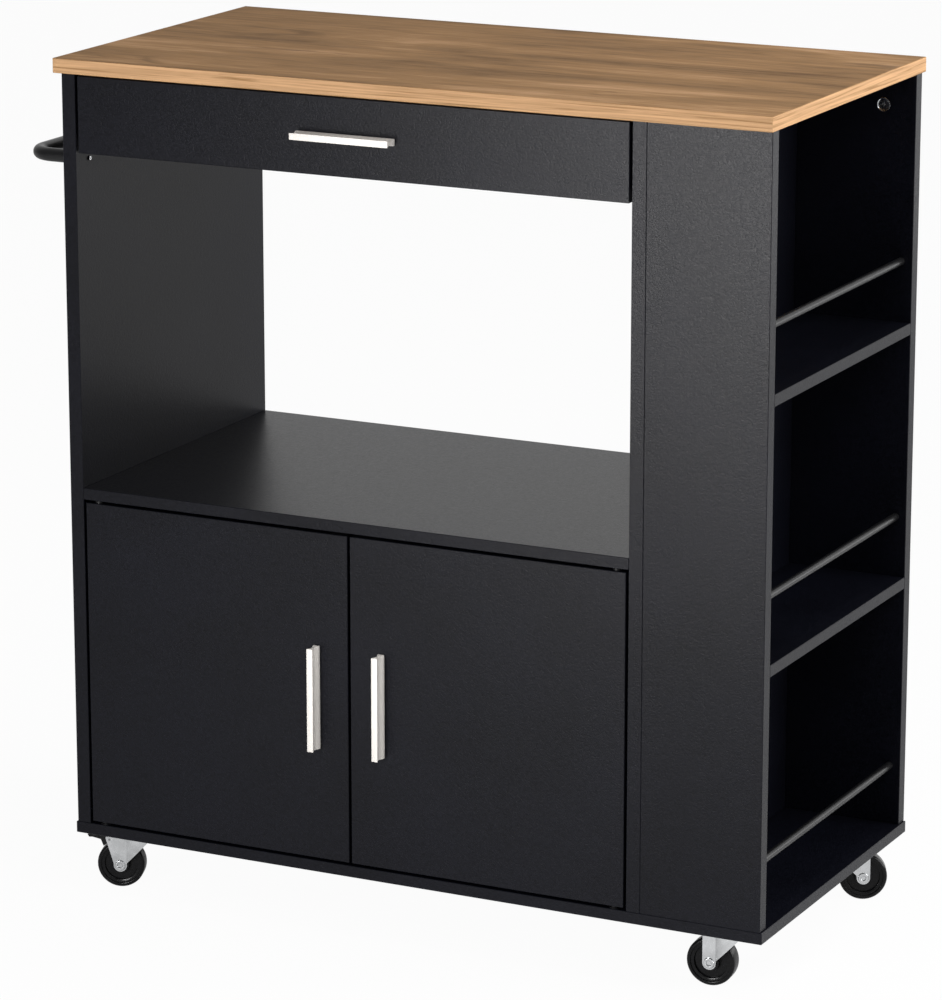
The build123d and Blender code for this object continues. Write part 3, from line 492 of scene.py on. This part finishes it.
class CART_OT_finishes(bpy.types.Operator):
    """Makes the materials of the cart"""

    bl_idname = "cart.finishes"
    bl_label = "Make finishes"
    bl_options = {"REGISTER", "UNDO"}

    # Oak layers from coarse to fine: scale by axis, detail, roughness, distortion; then their shares of the tone
    oak_layers = (((2.8, 9.0, 9.0), 3.0, 0.6, 0.8), ((1.3, 26.0, 26.0), 3.0, 0.6, 0.5),
                  ((7.0, 150.0, 150.0), 4.0, 0.65, 0.4), ((34.0, 560.0, 560.0), 3.0, 0.65, 0.0))
    oak_shares = (0.42, 0.26, 0.18, 0.14)
    oak_knots = ((4.5, 15.0, 15.0), 4.0, 0.6, 1.0)
    oak_lines = ((6.0, 360.0, 360.0), 4.0, 0.65, 0.5)
    steep = 0.7  # a face whose normal has less than this of an axis looks another way

    # Plain finishes: name, colour, noise, shares of the colour, range of roughness, relief, other sockets
    sheets = (
        ("drawer_board", "drawer_board", ((420.0, 60.0, 420.0), 3.0, 0.6), (0.75, 1.3), (0.42, 0.56),
         (0.00008, 0.3), {"Specular_IOR_Level": 0.3}),
        ("hardboard", "hardboard", ((300.0, 300.0, 900.0), 5.0, 0.7, 1.5), (0.7, 1.4), (0.55, 0.72),
         (0.0001, 0.4), {"Specular_IOR_Level": 0.3}),
    )
    hardware = (
        ("satin_aluminium", "aluminium", ((900.0, 900.0, 60.0), 3.0), (0.94, 1.05), (0.58, 0.66),
         (0.00002, 0.25), {"Metallic": 0.20}),
        ("zinc_steel", "zinc", ((90.0, 90.0, 90.0), 2.0), (0.92, 1.08), (0.16, 0.26),
         (0.00002, 0.1), {"Metallic": 1.0}),
        ("runner_steel", "nylon", ((600.0, 12.0, 600.0), 4.0, 0.6), (0.82, 0.98), (0.32, 0.46),
         (0.00003, 0.2), {}),
        ("black_steel", "coating", ((700.0, 700.0, 700.0), 2.0), (0.8, 1.3), (0.30, 0.38),
         (0.00008, 0.3), {"Specular_IOR_Level": 0.30}),
        ("wheel_plastic", "wheel", ((320.0, 320.0, 320.0), 3.0, 0.6), (0.8, 1.4), (0.16, 0.28),
         (0.00004, 0.2), {"Specular_IOR_Level": 0.16}),
        ("pedal_plastic", "wheel", ((320.0, 320.0, 320.0), 3.0, 0.6), (0.96, 1.68), (0.34, 0.46),
         (0.00004, 0.2), {"Specular_IOR_Level": 0.16}),
        ("white_nylon", "nylon", ((260.0, 260.0, 260.0), 3.0), (0.92, 1.06), (0.34, 0.48),
         (0.00004, 0.2), {}),
    )

    def oak(self, boards):
        """Oak-look laminate: long streaks along X, on the two end edges along Y; the sides get a lighter edge-band
        tone, partly painted light.
        """
        oak = Finish("oak_laminate")
        facing = oak.node("ShaderNodeSeparateXYZ", {0: oak.facing}).outputs
        at_end = oak.calc("GREATER_THAN", oak.calc("ABSOLUTE", facing[0]), self.steep)
        # Mask of the side faces: the edge band, made lighter than the top, partly painted light of lit sides
        band_and_painted_light_mask = oak.calc("LESS_THAN", oak.calc("ABSOLUTE", facing[2]), self.steep)
        axes = oak.node("ShaderNodeSeparateXYZ", {0: oak.place}).outputs
        across = oak.node("ShaderNodeCombineXYZ", {0: axes[1], 1: axes[0], 2: axes[2]}).outputs[0]
        ways = {0: at_end, 4: oak.place, 5: across}
        grain = oak.node("ShaderNodeMix", ways, data_type="VECTOR").outputs[1]
        cloud, band, streak, fibre = (oak.noise(*layer, grain) for layer in self.oak_layers)
        tone = oak.calc("MULTIPLY", cloud, self.oak_shares[0])
        for layer, share in zip((band, streak, fibre), self.oak_shares[1:]):
            tone = oak.calc("ADD", tone, oak.calc("MULTIPLY", layer, share))
        face = oak.ramp(tone, [(0.38, opaque(boards.oak_dark)), (0.46, opaque(boards.oak_middle, 0.74)),
                               (0.53, opaque(boards.oak_middle)), (0.62, opaque(boards.oak_light))])
        knots = oak.fit(oak.noise(*self.oak_knots, grain), 0.60, 0.74, 0.0, 0.7)
        face = oak.mix(knots, face, opaque(boards.oak_dark, 0.8))
        lines = oak.noise(*self.oak_lines, grain)
        # Edge-band tone of the sides, lighter than the top: partly the band's own colour, partly painted light
        edge = oak.ramp(lines, [(0.36, opaque(boards.oak_middle, 0.9)), (0.46, opaque(boards.oak_light, 0.86)),
                                (0.54, opaque(boards.oak_light)), (0.64, opaque(boards.oak_light, 1.12))])
        oak.set(Base_Color=oak.mix(band_and_painted_light_mask, face, edge), Specular_IOR_Level=0.04,
                Roughness=oak.fit(fibre, *NOISE_SPAN, 0.66, 0.54))
        oak.bump(oak.calc("ADD", fibre, oak.calc("MULTIPLY", streak, 0.6)), 0.00012, 0.5)

    def laminate(self, boards):
        """Black laminate with a fine mottled emboss."""
        black = Finish("black_laminate")
        mottle = black.noise((330.0, 330.0, 330.0), 3.0, 0.55, 1.2)
        grit = black.noise((1300.0, 1300.0, 1300.0))
        cloud = black.noise((7.0, 7.0, 7.0), 3.0)
        tone = black.calc("ADD", black.calc("MULTIPLY", mottle, 0.6), black.calc("MULTIPLY", cloud, 0.4))
        colour = black.ramp(tone, [(0.35, opaque(boards.laminate, 0.6)), (0.65, opaque(boards.laminate, 1.5))])
        black.set(Base_Color=colour, Roughness=black.fit(mottle, *NOISE_SPAN, 0.29, 0.38),
                  Specular_IOR_Level=0.16, Specular_Tint=(1.0, 0.985, 0.99, 1.0))
        black.bump(black.calc("ADD", mottle, black.calc("MULTIPLY", grit, 0.35)), 0.0005, 0.35)

    def plain(self, name, colour, noise, shares, roughness, relief, others):
        """A finish whose colour, roughness and relief all follow one noise pattern."""
        finish = Finish(name)
        pattern = finish.noise(*noise)
        stops = [(place, opaque(colour, share)) for place, share in zip(NOISE_SPAN, shares)]
        finish.set(Base_Color=finish.ramp(pattern, stops),
                   Roughness=finish.fit(pattern, *NOISE_SPAN, *roughness), **others)
        finish.bump(pattern, *relief)

    def execute(self, context):
        boards, fittings = context.scene.cart_boards, context.scene.cart_fittings
        self.oak(boards)
        self.laminate(boards)
        for group, rows in ((boards, self.sheets), (fittings, self.hardware)):
            for name, colour, *rest in rows:
                self.plain(name, getattr(group, colour), *rest)
        return {"FINISHED"}


class CART_OT_boards(bpy.types.Operator):
    """Finishes the boards and the small pieces that keep their shape"""

    bl_idname = "cart.boards"
    bl_label = "Finish boards"
    bl_options = {"REGISTER", "UNDO"}

    def execute(self, context):
        by_slot = {}
        for part in frame["record"]["subparts"]:
            by_slot.setdefault(part["material_slot"], []).append(part["node"])
        for slot_name, names in by_slot.items():
            paint(names, finish_called(slot_name))
        return {"FINISHED"}


class CART_OT_handles(bpy.types.Operator):
    """Models the bar handles of the drawer and the doors"""

    bl_idname = "cart.handles"
    bl_label = "Model handles"
    bl_options = {"REGISTER", "UNDO"}

    def bar(self, length, depth, width, edge):
        """A bar with hollow flanks: X runs out from the front, Y across, Z along."""
        back_lip, front_lip, waist_share, rows = 0.0024, 0.0030, 0.69, 11
        clear_selection()
        bpy.ops.mesh.primitive_plane_add(size=1.0, location=(depth / 2, 0.0, 0.0))
        piece = bpy.context.object
        piece.scale = (depth, width, 1.0)
        bpy.ops.object.transform_apply(location=True, scale=True)
        open_mesh(piece)
        for row in range(rows):
            reach = back_lip + (depth - back_lip - front_lip) * row / (rows - 1)
            bpy.ops.mesh.select_all(action="SELECT")
            bpy.ops.mesh.bisect(plane_co=(reach, 0.0, 0.0), plane_no=(1.0, 0.0, 0.0))
            bend = (2.0 * row / (rows - 1) - 1.0) ** 2
            share = waist_share + (1.0 - waist_share) * bend
            pick(piece, "VERT", lambda vertex: abs(vertex.co.x - reach) < NEAR)
            bpy.ops.transform.resize(value=(1.0, share, 1.0), center_override=(reach, 0.0, 0.0))
        bpy.ops.mesh.select_all(action="SELECT")
        bpy.ops.mesh.extrude_region_move(TRANSFORM_OT_translate={"value": (0.0, 0.0, length)})
        tidy_mesh(piece)
        round_edges(piece, edge, 2, 40.0)
        smooth(piece)
        return piece

    def execute(self, context):
        low, high = (Vector(corner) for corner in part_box("drawer_handle"))
        size = high - low
        pattern = self.bar(size.x, size.y, size.z, context.scene.cart_fittings.handle_edge)
        bar = copy_of(pattern, "drawer_bar_handle")
        settle(bar, frame_matrix(Vector((low.x, high.y, (low.z + high.z) / 2)), OUT, -UP, EAST))
        hand_over(bar, "satin_aluminium", "drawer", "drawer_handle")
        for side in ("left", "right"):
            low, high = (Vector(corner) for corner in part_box(f"{side}_door_handle"))
            bar = copy_of(pattern, f"{side}_door_bar_handle")
            settle(bar, frame_matrix(Vector(((low.x + high.x) / 2, high.y, low.z)), OUT, EAST, UP))
            hand_over(bar, "satin_aluminium", f"{side}_door", f"{side}_door_handle")
        discard(pattern)
        return {"FINISHED"}


class CART_OT_towel_bar(bpy.types.Operator):
    """Models the bent tube of the towel bar"""

    bl_idname = "cart.towel_bar"
    bl_label = "Model towel bar"
    bl_options = {"REGISTER", "UNDO"}

    def execute(self, context):
        radius, bend, bend_steps, sides = 0.007, 0.025, 10, 32
        low, high = (Vector(corner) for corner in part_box("towel_bar"))
        level = (low.z + high.z) / 2
        start_y, end_y = low.y + radius, high.y - radius
        far_x = low.x + radius
        clear_selection()
        bpy.ops.mesh.primitive_circle_add(vertices=sides, radius=radius, location=(high.x, start_y, level),
                                          rotation=(0.0, pi / 2, 0.0))
        piece = bpy.context.object
        piece.name = "towel_bar_tube"
        bpy.ops.object.transform_apply(location=True, rotation=True)
        bpy.ops.object.mode_set(mode="EDIT")
        bpy.ops.mesh.select_all(action="SELECT")
        leg = {"value": (far_x + bend - high.x, 0.0, 0.0)}
        bpy.ops.mesh.extrude_region_move(TRANSFORM_OT_translate=leg)
        bpy.ops.mesh.spin(steps=bend_steps, angle=pi / 2, center=(far_x + bend, start_y + bend, level), axis=UP)
        run = {"value": (0.0, end_y - start_y - 2.0 * bend, 0.0)}
        bpy.ops.mesh.extrude_region_move(TRANSFORM_OT_translate=run)
        bpy.ops.mesh.spin(steps=bend_steps, angle=pi / 2, center=(far_x + bend, end_y - bend, level), axis=UP)
        leg = {"value": (high.x - far_x - bend, 0.0, 0.0)}
        bpy.ops.mesh.extrude_region_move(TRANSFORM_OT_translate=leg)
        bpy.ops.mesh.edge_face_add()
        pick(piece, "EDGE", lambda edge: edge.is_boundary)
        bpy.ops.mesh.edge_face_add()
        tidy_mesh(piece)
        smooth(piece)
        hand_over(piece, "black_steel", "carcass", "towel_bar")
        return {"FINISHED"}


class CART_OT_wheels(bpy.types.Operator):
    """Models the moulded wheels of the casters"""

    bl_idname = "cart.wheels"
    bl_label = "Model wheels"
    bl_options = {"REGISTER", "UNDO"}

    # Upper half of the wheel's section, from the tread in to the bore: (radius, height)
    section = ((0.02500, 0.0010), (0.02500, 0.0060), (0.02477, 0.0071), (0.02412, 0.0081), (0.02315, 0.0087),
               (0.02200, 0.0090), (0.02110, 0.0090), (0.02085, 0.0088), (0.02085, 0.0078), (0.02060, 0.0075),
               (0.01760, 0.0075), (0.01735, 0.0073), (0.01735, 0.0055), (0.01700, 0.0050), (0.00960, 0.0050),
               (0.00900, 0.0056), (0.00900, 0.0096), (0.00860, 0.0100), (0.00460, 0.0100), (0.00405, 0.0095))

    def execute(self, context):
        pattern = turned("wheel_pattern", both_sides(self.section), 72, True)
        smooth(pattern, 40.0)
        for corner in CORNERS:
            joint = joint_called(f"wheel_{corner}_roll")
            axis = Vector(joint["axis"]).normalized()
            wheel = copy_of(pattern, f"wheel_{corner}_moulding")
            settle(wheel, frame_matrix(Vector(joint["pos_m"]), UP, axis.cross(UP), axis))
            hand_over(wheel, "wheel_plastic", f"wheel_{corner}", f"caster_wheel_{corner}")
        discard(pattern)
        return {"FINISHED"}


class CART_OT_forks(bpy.types.Operator):
    """Models the pressed forks of the casters with their axle rivets"""

    bl_idname = "cart.forks"
    bl_label = "Model forks"
    bl_options = {"REGISTER", "UNDO"}

    # In a caster's own frame: origin on the floor under the kingpin, X to the wheel, Z up
    trail, hub_height = 0.020, 0.025
    inner, sheet = 0.0105, 0.0020
    crown_low, crown_top, crown_overhang = 0.054, 0.056, 0.0055
    toe, heel = 0.007, 0.012
    knee_rise, knee_clear = 0.002, 0.001
    brake_reach, brake_pin_reach, brake_pin_height = 0.015, 0.011, 0.053
    # Bends of the skirt: (place along X, bulge outwards)
    skirt = ((0.0100, 0.0020), (0.0055, 0.0032), (0.0, 0.0036), (-0.0060, 0.0027), (-0.0120, 0.0004))
    # Sections of the raised race and of one rivet head: (radius, height)
    race = ((0.00405, 0.0541), (0.0150, 0.0541), (0.0150, 0.0556), (0.0146, 0.0560),
            (0.0132, 0.0561), (0.0130, 0.0590), (0.0122, 0.0597), (0.00405, 0.0597))
    rivet_head = ((0.0040, 0.0125), (0.0056, 0.0125), (0.0056, 0.0131), (0.0051, 0.0138), (0.0042, 0.0140),
                  (0.0030, 0.0138), (0.0024, 0.0131), (0.0022, 0.0115))
    brake_pin_end = ((0.0020, 0.0120), (0.0016, 0.0125))

    def leg(self, reach):
        """One pressed leg at Y zero: a strip round the axle and a skirt bent out towards the kingpin."""
        left, right = self.trail - self.toe, self.trail + self.toe
        foot, knee = self.hub_height - self.toe, self.hub_height + self.knee_rise

        def upright_at(place):
            """Tells whether an edge above the knee stands at a place along X."""
            return lambda edge: (middle_of(edge).z > knee + self.knee_clear
                                 and all(abs(vertex.co.x - place) < NEAR for vertex in edge.verts))

        clear_selection()
        bpy.ops.mesh.primitive_plane_add(size=1.0, rotation=(pi / 2, 0.0, 0.0),
                                         location=(self.trail, 0.0, (foot + self.crown_top) / 2))
        piece = bpy.context.object
        piece.scale = (right - left, self.crown_top - foot, 1.0)
        bpy.ops.object.transform_apply(location=True, rotation=True, scale=True)
        open_mesh(piece)
        bpy.ops.mesh.select_all(action="SELECT")
        bpy.ops.mesh.bisect(plane_co=(0.0, 0.0, knee), plane_no=(0.0, 0.0, 1.0))
        steps = []
        here, out_here = left, 0.0
        for goal, out in self.skirt:
            rise = (self.crown_low - knee) * (left - goal) / (left + self.heel)
            steps.append((here, goal, out - out_here, knee + rise))
            here, out_here = goal, out
        if reach:
            steps.append((right, self.trail + reach, 0.0, self.crown_low))
        for side, goal, bent, low in steps:
            pick(piece, "EDGE", upright_at(side))
            shape = bmesh.from_edit_mesh(piece.data)
            depth = self.crown_top - min(vertex.co.z for vertex in shape.verts if vertex.select)
            bpy.ops.mesh.extrude_region_move(TRANSFORM_OT_translate={"value": (goal - side, -bent, 0.0)})
            share = (self.crown_top - low) / depth
            bpy.ops.transform.resize(value=(1.0, 1.0, share), center_override=(goal, 0.0, self.crown_top))
        pick(piece, "EDGE", upright_at(left))
        bpy.ops.mesh.bevel(offset=0.0009, offset_type="OFFSET", affect="EDGES", segments=2)
        pick(piece, "VERT", lambda vertex: vertex.co.z < foot + NEAR)
        bpy.ops.mesh.bevel(offset=self.toe * 0.999, offset_type="OFFSET", affect="VERTICES", segments=10)
        tidy_mesh(piece)
        use_modifier(piece, "SOLIDIFY", thickness=self.sheet, offset=0.0)
        return piece

    def crown(self):
        """The crown sheet with its raised race."""
        clear_selection()
        length = self.heel + self.trail + self.crown_overhang
        middle = (length / 2 - self.heel, 0.0, (self.crown_low + self.crown_top) / 2)
        bpy.ops.mesh.primitive_cube_add(size=1.0, location=middle)
        plate = bpy.context.object
        plate.scale = (length, 2.0 * (self.inner + self.sheet), self.crown_top - self.crown_low)
        bpy.ops.object.transform_apply(location=True, scale=True)
        return [plate, turned("race", self.race, 48, True)]

    def across(self, name, half, sides, reach, height):
        """A pin across the fork, made from one half of its section."""
        pin = turned(name, both_sides(half), sides)
        settle(pin, Matrix.Translation((self.trail + reach, 0.0, height)) @ Matrix.Rotation(pi / 2, 4, "X"))
        return pin

    def execute(self, context):
        for corner in CORNERS:
            near = self.leg(self.brake_reach if corner in BRAKED else 0.0)
            far = copy_of(near, "far_leg")
            middle = self.inner + self.sheet / 2
            settle(near, Matrix.Translation((0.0, -middle, 0.0)))
            settle(far, Matrix.Translation((0.0, middle, 0.0)) @ Matrix.Scale(-1.0, 4, (0.0, 1.0, 0.0)))
            open_mesh(far)
            tidy_mesh(far)
            sheets = [near, far] + self.crown()
            if corner in BRAKED:
                sheets.append(self.across("brake_pin", self.brake_pin_end, 24,
                                          self.brake_pin_reach, self.brake_pin_height))
            rivet = self.across("rivet", self.rivet_head, 32, 0.0, self.hub_height)
            fork = join(sheets + [rivet], f"fork_{corner}_pressing")
            round_edges(fork, context.scene.cart_fittings.fork_edge, 2, 50.0)
            smooth(fork, 38.0)
            use_modifier(fork, "WEIGHTED_NORMAL", keep_sharp=True)
            settle(fork, caster_matrix(corner))
            hand_over(fork, "zinc_steel", f"swivel_{corner}", f"caster_fork_{corner}")
        return {"FINISHED"}


class CART_OT_cams(bpy.types.Operator):
    """Models the cam locks that hold the boards together"""

    bl_idname = "cart.cams"
    bl_label = "Model cam locks"
    bl_options = {"REGISTER", "UNDO"}

    # Rim of a face: (steps in from the edge, height over the CAD face); then its flat middle
    rim = ((0.0, -0.0001), (0.0, 0.0002), (0.0002, 0.0005), (0.0006, 0.0006), (0.0010, 0.0006),
           (0.0014, 0.0003), (0.0016, -0.0004), (0.0030, -0.0007))
    middle = (0.0012, -0.0007)
    slot_reach, slot_depth = 0.0034, 0.0026

    def execute(self, context):
        _, depth, radius = axis_frame(solids_of("cam_locks")[0])
        half = depth / 2
        face = [(radius - step, half + height) for step, height in self.rim]
        face.append((self.middle[0], half + self.middle[1]))
        pattern = turned("cam_pattern", both_sides(face), 48)
        smooth(pattern, 30.0)
        for way in (0.0, pi):
            settle(pattern, Matrix.Rotation(way, 4, "X"))
            cut_recess(pattern, half, self.slot_reach, self.slot_depth, 0)
        repeat_at(pattern, "cam_locks", "cam_lock_set", "zinc_steel", "carcass")
        discard(pattern)
        return {"FINISHED"}


class CART_OT_screws(bpy.types.Operator):
    """Models the screws with their heads and recesses"""

    bl_idname = "cart.screws"
    bl_label = "Model screws"
    bl_options = {"REGISTER", "UNDO"}

    dome_steps, dome_fall, flat_chamfer = 5, 0.62, 0.0003
    recess_reach, recess_depth = 0.38, 0.6
    # Node, new piece, body, head height, shank radius, sides of the socket or none for a cross, domed share
    kinds = (
        ("towel_bar_screws", "towel_bar_bolt_set", "carcass", 0.0024, 0.0025, 0, 0.92),
        ("mounting_screws", "mounting_screw_set", "carcass", 0.0015, 0.0019, 0, 0.6),
        ("base_screws", "base_screw_set", "carcass", 0.0035, 0.0034, 6, 0.0),
        ("drawer_handle_screws", "drawer_handle_screw_set", "drawer", 0.0022, 0.0015, 0, 0.6),
        ("left_door_handle_screws", "left_handle_screw_set", "left_door", 0.0022, 0.0015, 0, 0.6),
        ("right_door_handle_screws", "right_handle_screw_set", "right_door", 0.0022, 0.0015, 0, 0.6),
    )

    def screw(self, length, radius, head, shank, sides, dome):
        """One screw about Z, its head at the top."""
        top, seat, tip = length / 2, length / 2 - head, -length / 2
        rim = top - head * dome
        outline = [(shank * 0.35, tip), (shank * 0.75, tip + 0.0008), (shank, tip + 0.0022), (shank, seat),
                   (radius, seat), (radius, max(rim, seat + 0.0002))]
        if dome:
            for step in range(1, self.dome_steps + 1):
                bend = step / self.dome_steps
                outline.append((radius * (1.0 - self.dome_fall * bend ** 2),
                                rim + (top - rim) * (1.0 - (1.0 - bend) ** 2)))
        else:
            outline.append((radius - self.flat_chamfer, top))
        piece = turned("screw_pattern", outline, 32)
        smooth(piece, 40.0)
        cut_recess(piece, top, radius * self.recess_reach, head * self.recess_depth, sides)
        return piece

    def execute(self, context):
        for node, name, body, head, shank, sides, dome in self.kinds:
            _, length, radius = axis_frame(solids_of(node)[0])
            pattern = self.screw(length, radius, head, shank, sides, dome)
            repeat_at(pattern, node, name, "zinc_steel", body)
            discard(pattern)
        return {"FINISHED"}


class CART_OT_pedals(bpy.types.Operator):
    """Models the grip ridges on the brake pedals"""

    bl_idname = "cart.pedals"
    bl_label = "Model pedal ridges"
    bl_options = {"REGISTER", "UNDO"}

    # In a caster's own frame
    places, level = (0.0445, 0.0468, 0.0491, 0.0514), 0.0586
    ridge_size, ridge_edge = (0.0012, 0.0236, 0.0012), 0.0004

    def execute(self, context):
        for corner in BRAKED:
            ridges = []
            for place in self.places:
                clear_selection()
                bpy.ops.mesh.primitive_cube_add(size=1.0, location=(place, 0.0, self.level))
                ridge = bpy.context.object
                ridge.scale = self.ridge_size
                bpy.ops.object.transform_apply(location=True, scale=True)
                round_edges(ridge, self.ridge_edge, 3, 30.0)
                ridges.append(ridge)
            grip = join(ridges, f"brake_grip_{corner}")
            smooth(grip, 40.0)
            settle(grip, caster_matrix(corner))
            grip.data.materials.append(finish_called("pedal_plastic"))
            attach(grip, f"brake_{corner}")
        return {"FINISHED"}


class CART_OT_stage(bpy.types.Operator):
    """Sets the camera, the lamps, the world and the floor"""

    bl_idname = "cart.stage"
    bl_label = "Set stage"
    bl_options = {"REGISTER", "UNDO"}

    floor_size, floor_grey = 80.0, 0.80
    white_share, mirrored_share = 0.96, 0.35  # how white the floor shows to the camera and in gloss
    bright_way = (0.62, 0.76, 0.20)
    dim_at, bright_at, dimmest = -0.7, 0.6, 0.22
    diffuse_level = 0.30  # strength of the world where it only lights
    # Name, setting of its power, place, aim, width, height
    lamps = (
        ("front_lamp", "front_power", (1.5, -1.7, 1.75), (0.1, -0.1, 0.55), 1.2, 1.0),
        ("side_lamp", "side_power", (2.4, 0.5, 1.0), (0.3, 0.0, 0.6), 1.4, 1.4),
        ("low_lamp", "low_power", (-0.36, -2.3, 0.58), (0.3, -0.2, 0.8), 0.35, 0.9),
        ("back_lamp", "back_power", (1.7, 2.3, 0.55), (0.3, 0.0, 0.5), 1.0, 0.8),
        ("top_lamp", "top_power", (1.5, 0.0, 2.9), (0.35, 0.0, 0.8), 2.0, 2.0),
    )

    def floor(self):
        """A pale floor that shows white and keeps the cart's shadow."""
        clear_selection()
        bpy.ops.mesh.primitive_plane_add(size=self.floor_size, location=(0.0, 0.0, 0.0))
        floor = bpy.context.object
        floor.name = "stage_floor"
        ground = bpy.data.materials.new("stage_floor")
        ground.use_nodes = True
        nodes = Nodes(ground.node_tree)
        shader = ground.node_tree.nodes["Principled BSDF"]
        shader.inputs["Base Color"].default_value = opaque((self.floor_grey,) * 3)
        shader.inputs["Roughness"].default_value = 0.9
        shader.inputs["Specular IOR Level"].default_value = 0.1
        glow = nodes.node("ShaderNodeEmission", {"Strength": 1.0})
        path = nodes.node("ShaderNodeLightPath").outputs
        seen = nodes.calc("MAXIMUM", path["Is Camera Ray"], path["Is Transmission Ray"])
        share = nodes.calc("MAXIMUM", nodes.calc("MULTIPLY", seen, self.white_share),
                           nodes.calc("MULTIPLY", path["Is Glossy Ray"], self.mirrored_share))
        blend = nodes.node("ShaderNodeMixShader", {0: share, 1: shader.outputs[0], 2: glow.outputs[0]})
        nodes.feed(ground.node_tree.nodes["Material Output"].inputs["Surface"], blend.outputs[0])
        floor.data.materials.append(ground)

    def world(self, scene):
        """A studio that is bright behind and on the right, and dimmer in front."""
        world = bpy.data.worlds.new("studio")
        world.use_nodes = True
        nodes = Nodes(world.node_tree)
        ways = {0: nodes.node("ShaderNodeTexCoord").outputs["Generated"], 1: Vector(self.bright_way).normalized()}
        towards = nodes.node("ShaderNodeVectorMath", ways, operation="DOT_PRODUCT").outputs["Value"]
        gradient = nodes.fit(towards, self.dim_at, self.bright_at, self.dimmest, 1.0)
        path = nodes.node("ShaderNodeLightPath").outputs
        shown = nodes.calc("MAXIMUM", path["Is Camera Ray"], path["Is Glossy Ray"])
        shown = nodes.calc("MAXIMUM", shown, path["Is Transmission Ray"])
        sky = world.node_tree.nodes["Background"]
        nodes.feed(sky.inputs["Color"], nodes.calc("MAXIMUM", path["Is Camera Ray"], gradient))
        nodes.feed(sky.inputs["Strength"], nodes.fit(shown, 0.0, 1.0, self.diffuse_level, 1.0))
        scene.world = world

    def lamp(self, name, power, place, aim, width, height):
        """A soft rectangular lamp that looks at a point."""
        light = bpy.data.lights.new(name, "AREA")
        light.shape = "RECTANGLE"
        light.size = width
        light.size_y = height
        light.energy = power
        holder = bpy.data.objects.new(name, light)
        bpy.context.collection.objects.link(holder)
        holder.location = place
        holder.visible_camera = False
        holder.rotation_euler = (Vector(aim) - Vector(place)).to_track_quat("-Z", "Y").to_euler()

    def execute(self, context):
        scene = context.scene
        stage = scene.cart_stage
        self.floor()
        self.world(scene)
        for name, power, *placing in self.lamps:
            self.lamp(name, getattr(stage, power), *placing)
        camera = bpy.data.cameras.new("camera")
        camera.lens = stage.camera_lens
        camera.sensor_width = 36.0
        camera.clip_end = 200.0
        viewer = bpy.data.objects.new("camera", camera)
        context.collection.objects.link(viewer)
        viewer.location = stage.camera_place
        viewer.rotation_euler = (pi / 2 - stage.camera_elevation, 0.0, stage.camera_azimuth)
        scene.camera = viewer
        scene.view_settings.view_transform = "Standard"
        return {"FINISHED"}


class CART_PT_panel(bpy.types.Panel):
    """Steps and settings of the kitchen cart"""

    bl_idname = "CART_PT_panel"
    bl_label = "Kitchen cart"
    bl_space_type = "VIEW_3D"
    bl_region_type = "UI"
    bl_category = "Kitchen cart"

    def draw(self, context):
        layout = self.layout
        for step in STEPS:
            layout.operator(step.bl_idname)
        for group in (context.scene.cart_boards, context.scene.cart_fittings, context.scene.cart_stage):
            box = layout.box()
            for name in group.bl_rna.properties.keys():
                if name not in ("rna_type", "name"):
                    box.prop(group, name)


STEPS = (CART_OT_finishes, CART_OT_boards, CART_OT_handles, CART_OT_towel_bar, CART_OT_wheels, CART_OT_forks,
         CART_OT_pedals, CART_OT_cams, CART_OT_screws, CART_OT_stage)
CLASSES = (CartBoards, CartFittings, CartStage) + STEPS + (CART_PT_panel,)


def register():
    """Registers the classes and their settings."""
    for item in CLASSES:
        bpy.utils.register_class(item)
    bpy.types.Scene.cart_boards = bpy.props.PointerProperty(type=CartBoards)
    bpy.types.Scene.cart_fittings = bpy.props.PointerProperty(type=CartFittings)
    bpy.types.Scene.cart_stage = bpy.props.PointerProperty(type=CartStage)


def unregister():
    """Takes the settings and the classes back out."""
    del bpy.types.Scene.cart_stage
    del bpy.types.Scene.cart_fittings
    del bpy.types.Scene.cart_boards
    for item in reversed(CLASSES):
        bpy.utils.unregister_class(item)


def main():
    """Dresses the cart step by step."""
    register()
    bpy.ops.cart.finishes()
    bpy.ops.cart.boards()
    bpy.ops.cart.handles()
    bpy.ops.cart.towel_bar()
    bpy.ops.cart.wheels()
    bpy.ops.cart.forks()
    bpy.ops.cart.pedals()
    bpy.ops.cart.cams()
    bpy.ops.cart.screws()
    bpy.ops.cart.stage()
    clear_selection()


if __name__ == "__main__":
    main()
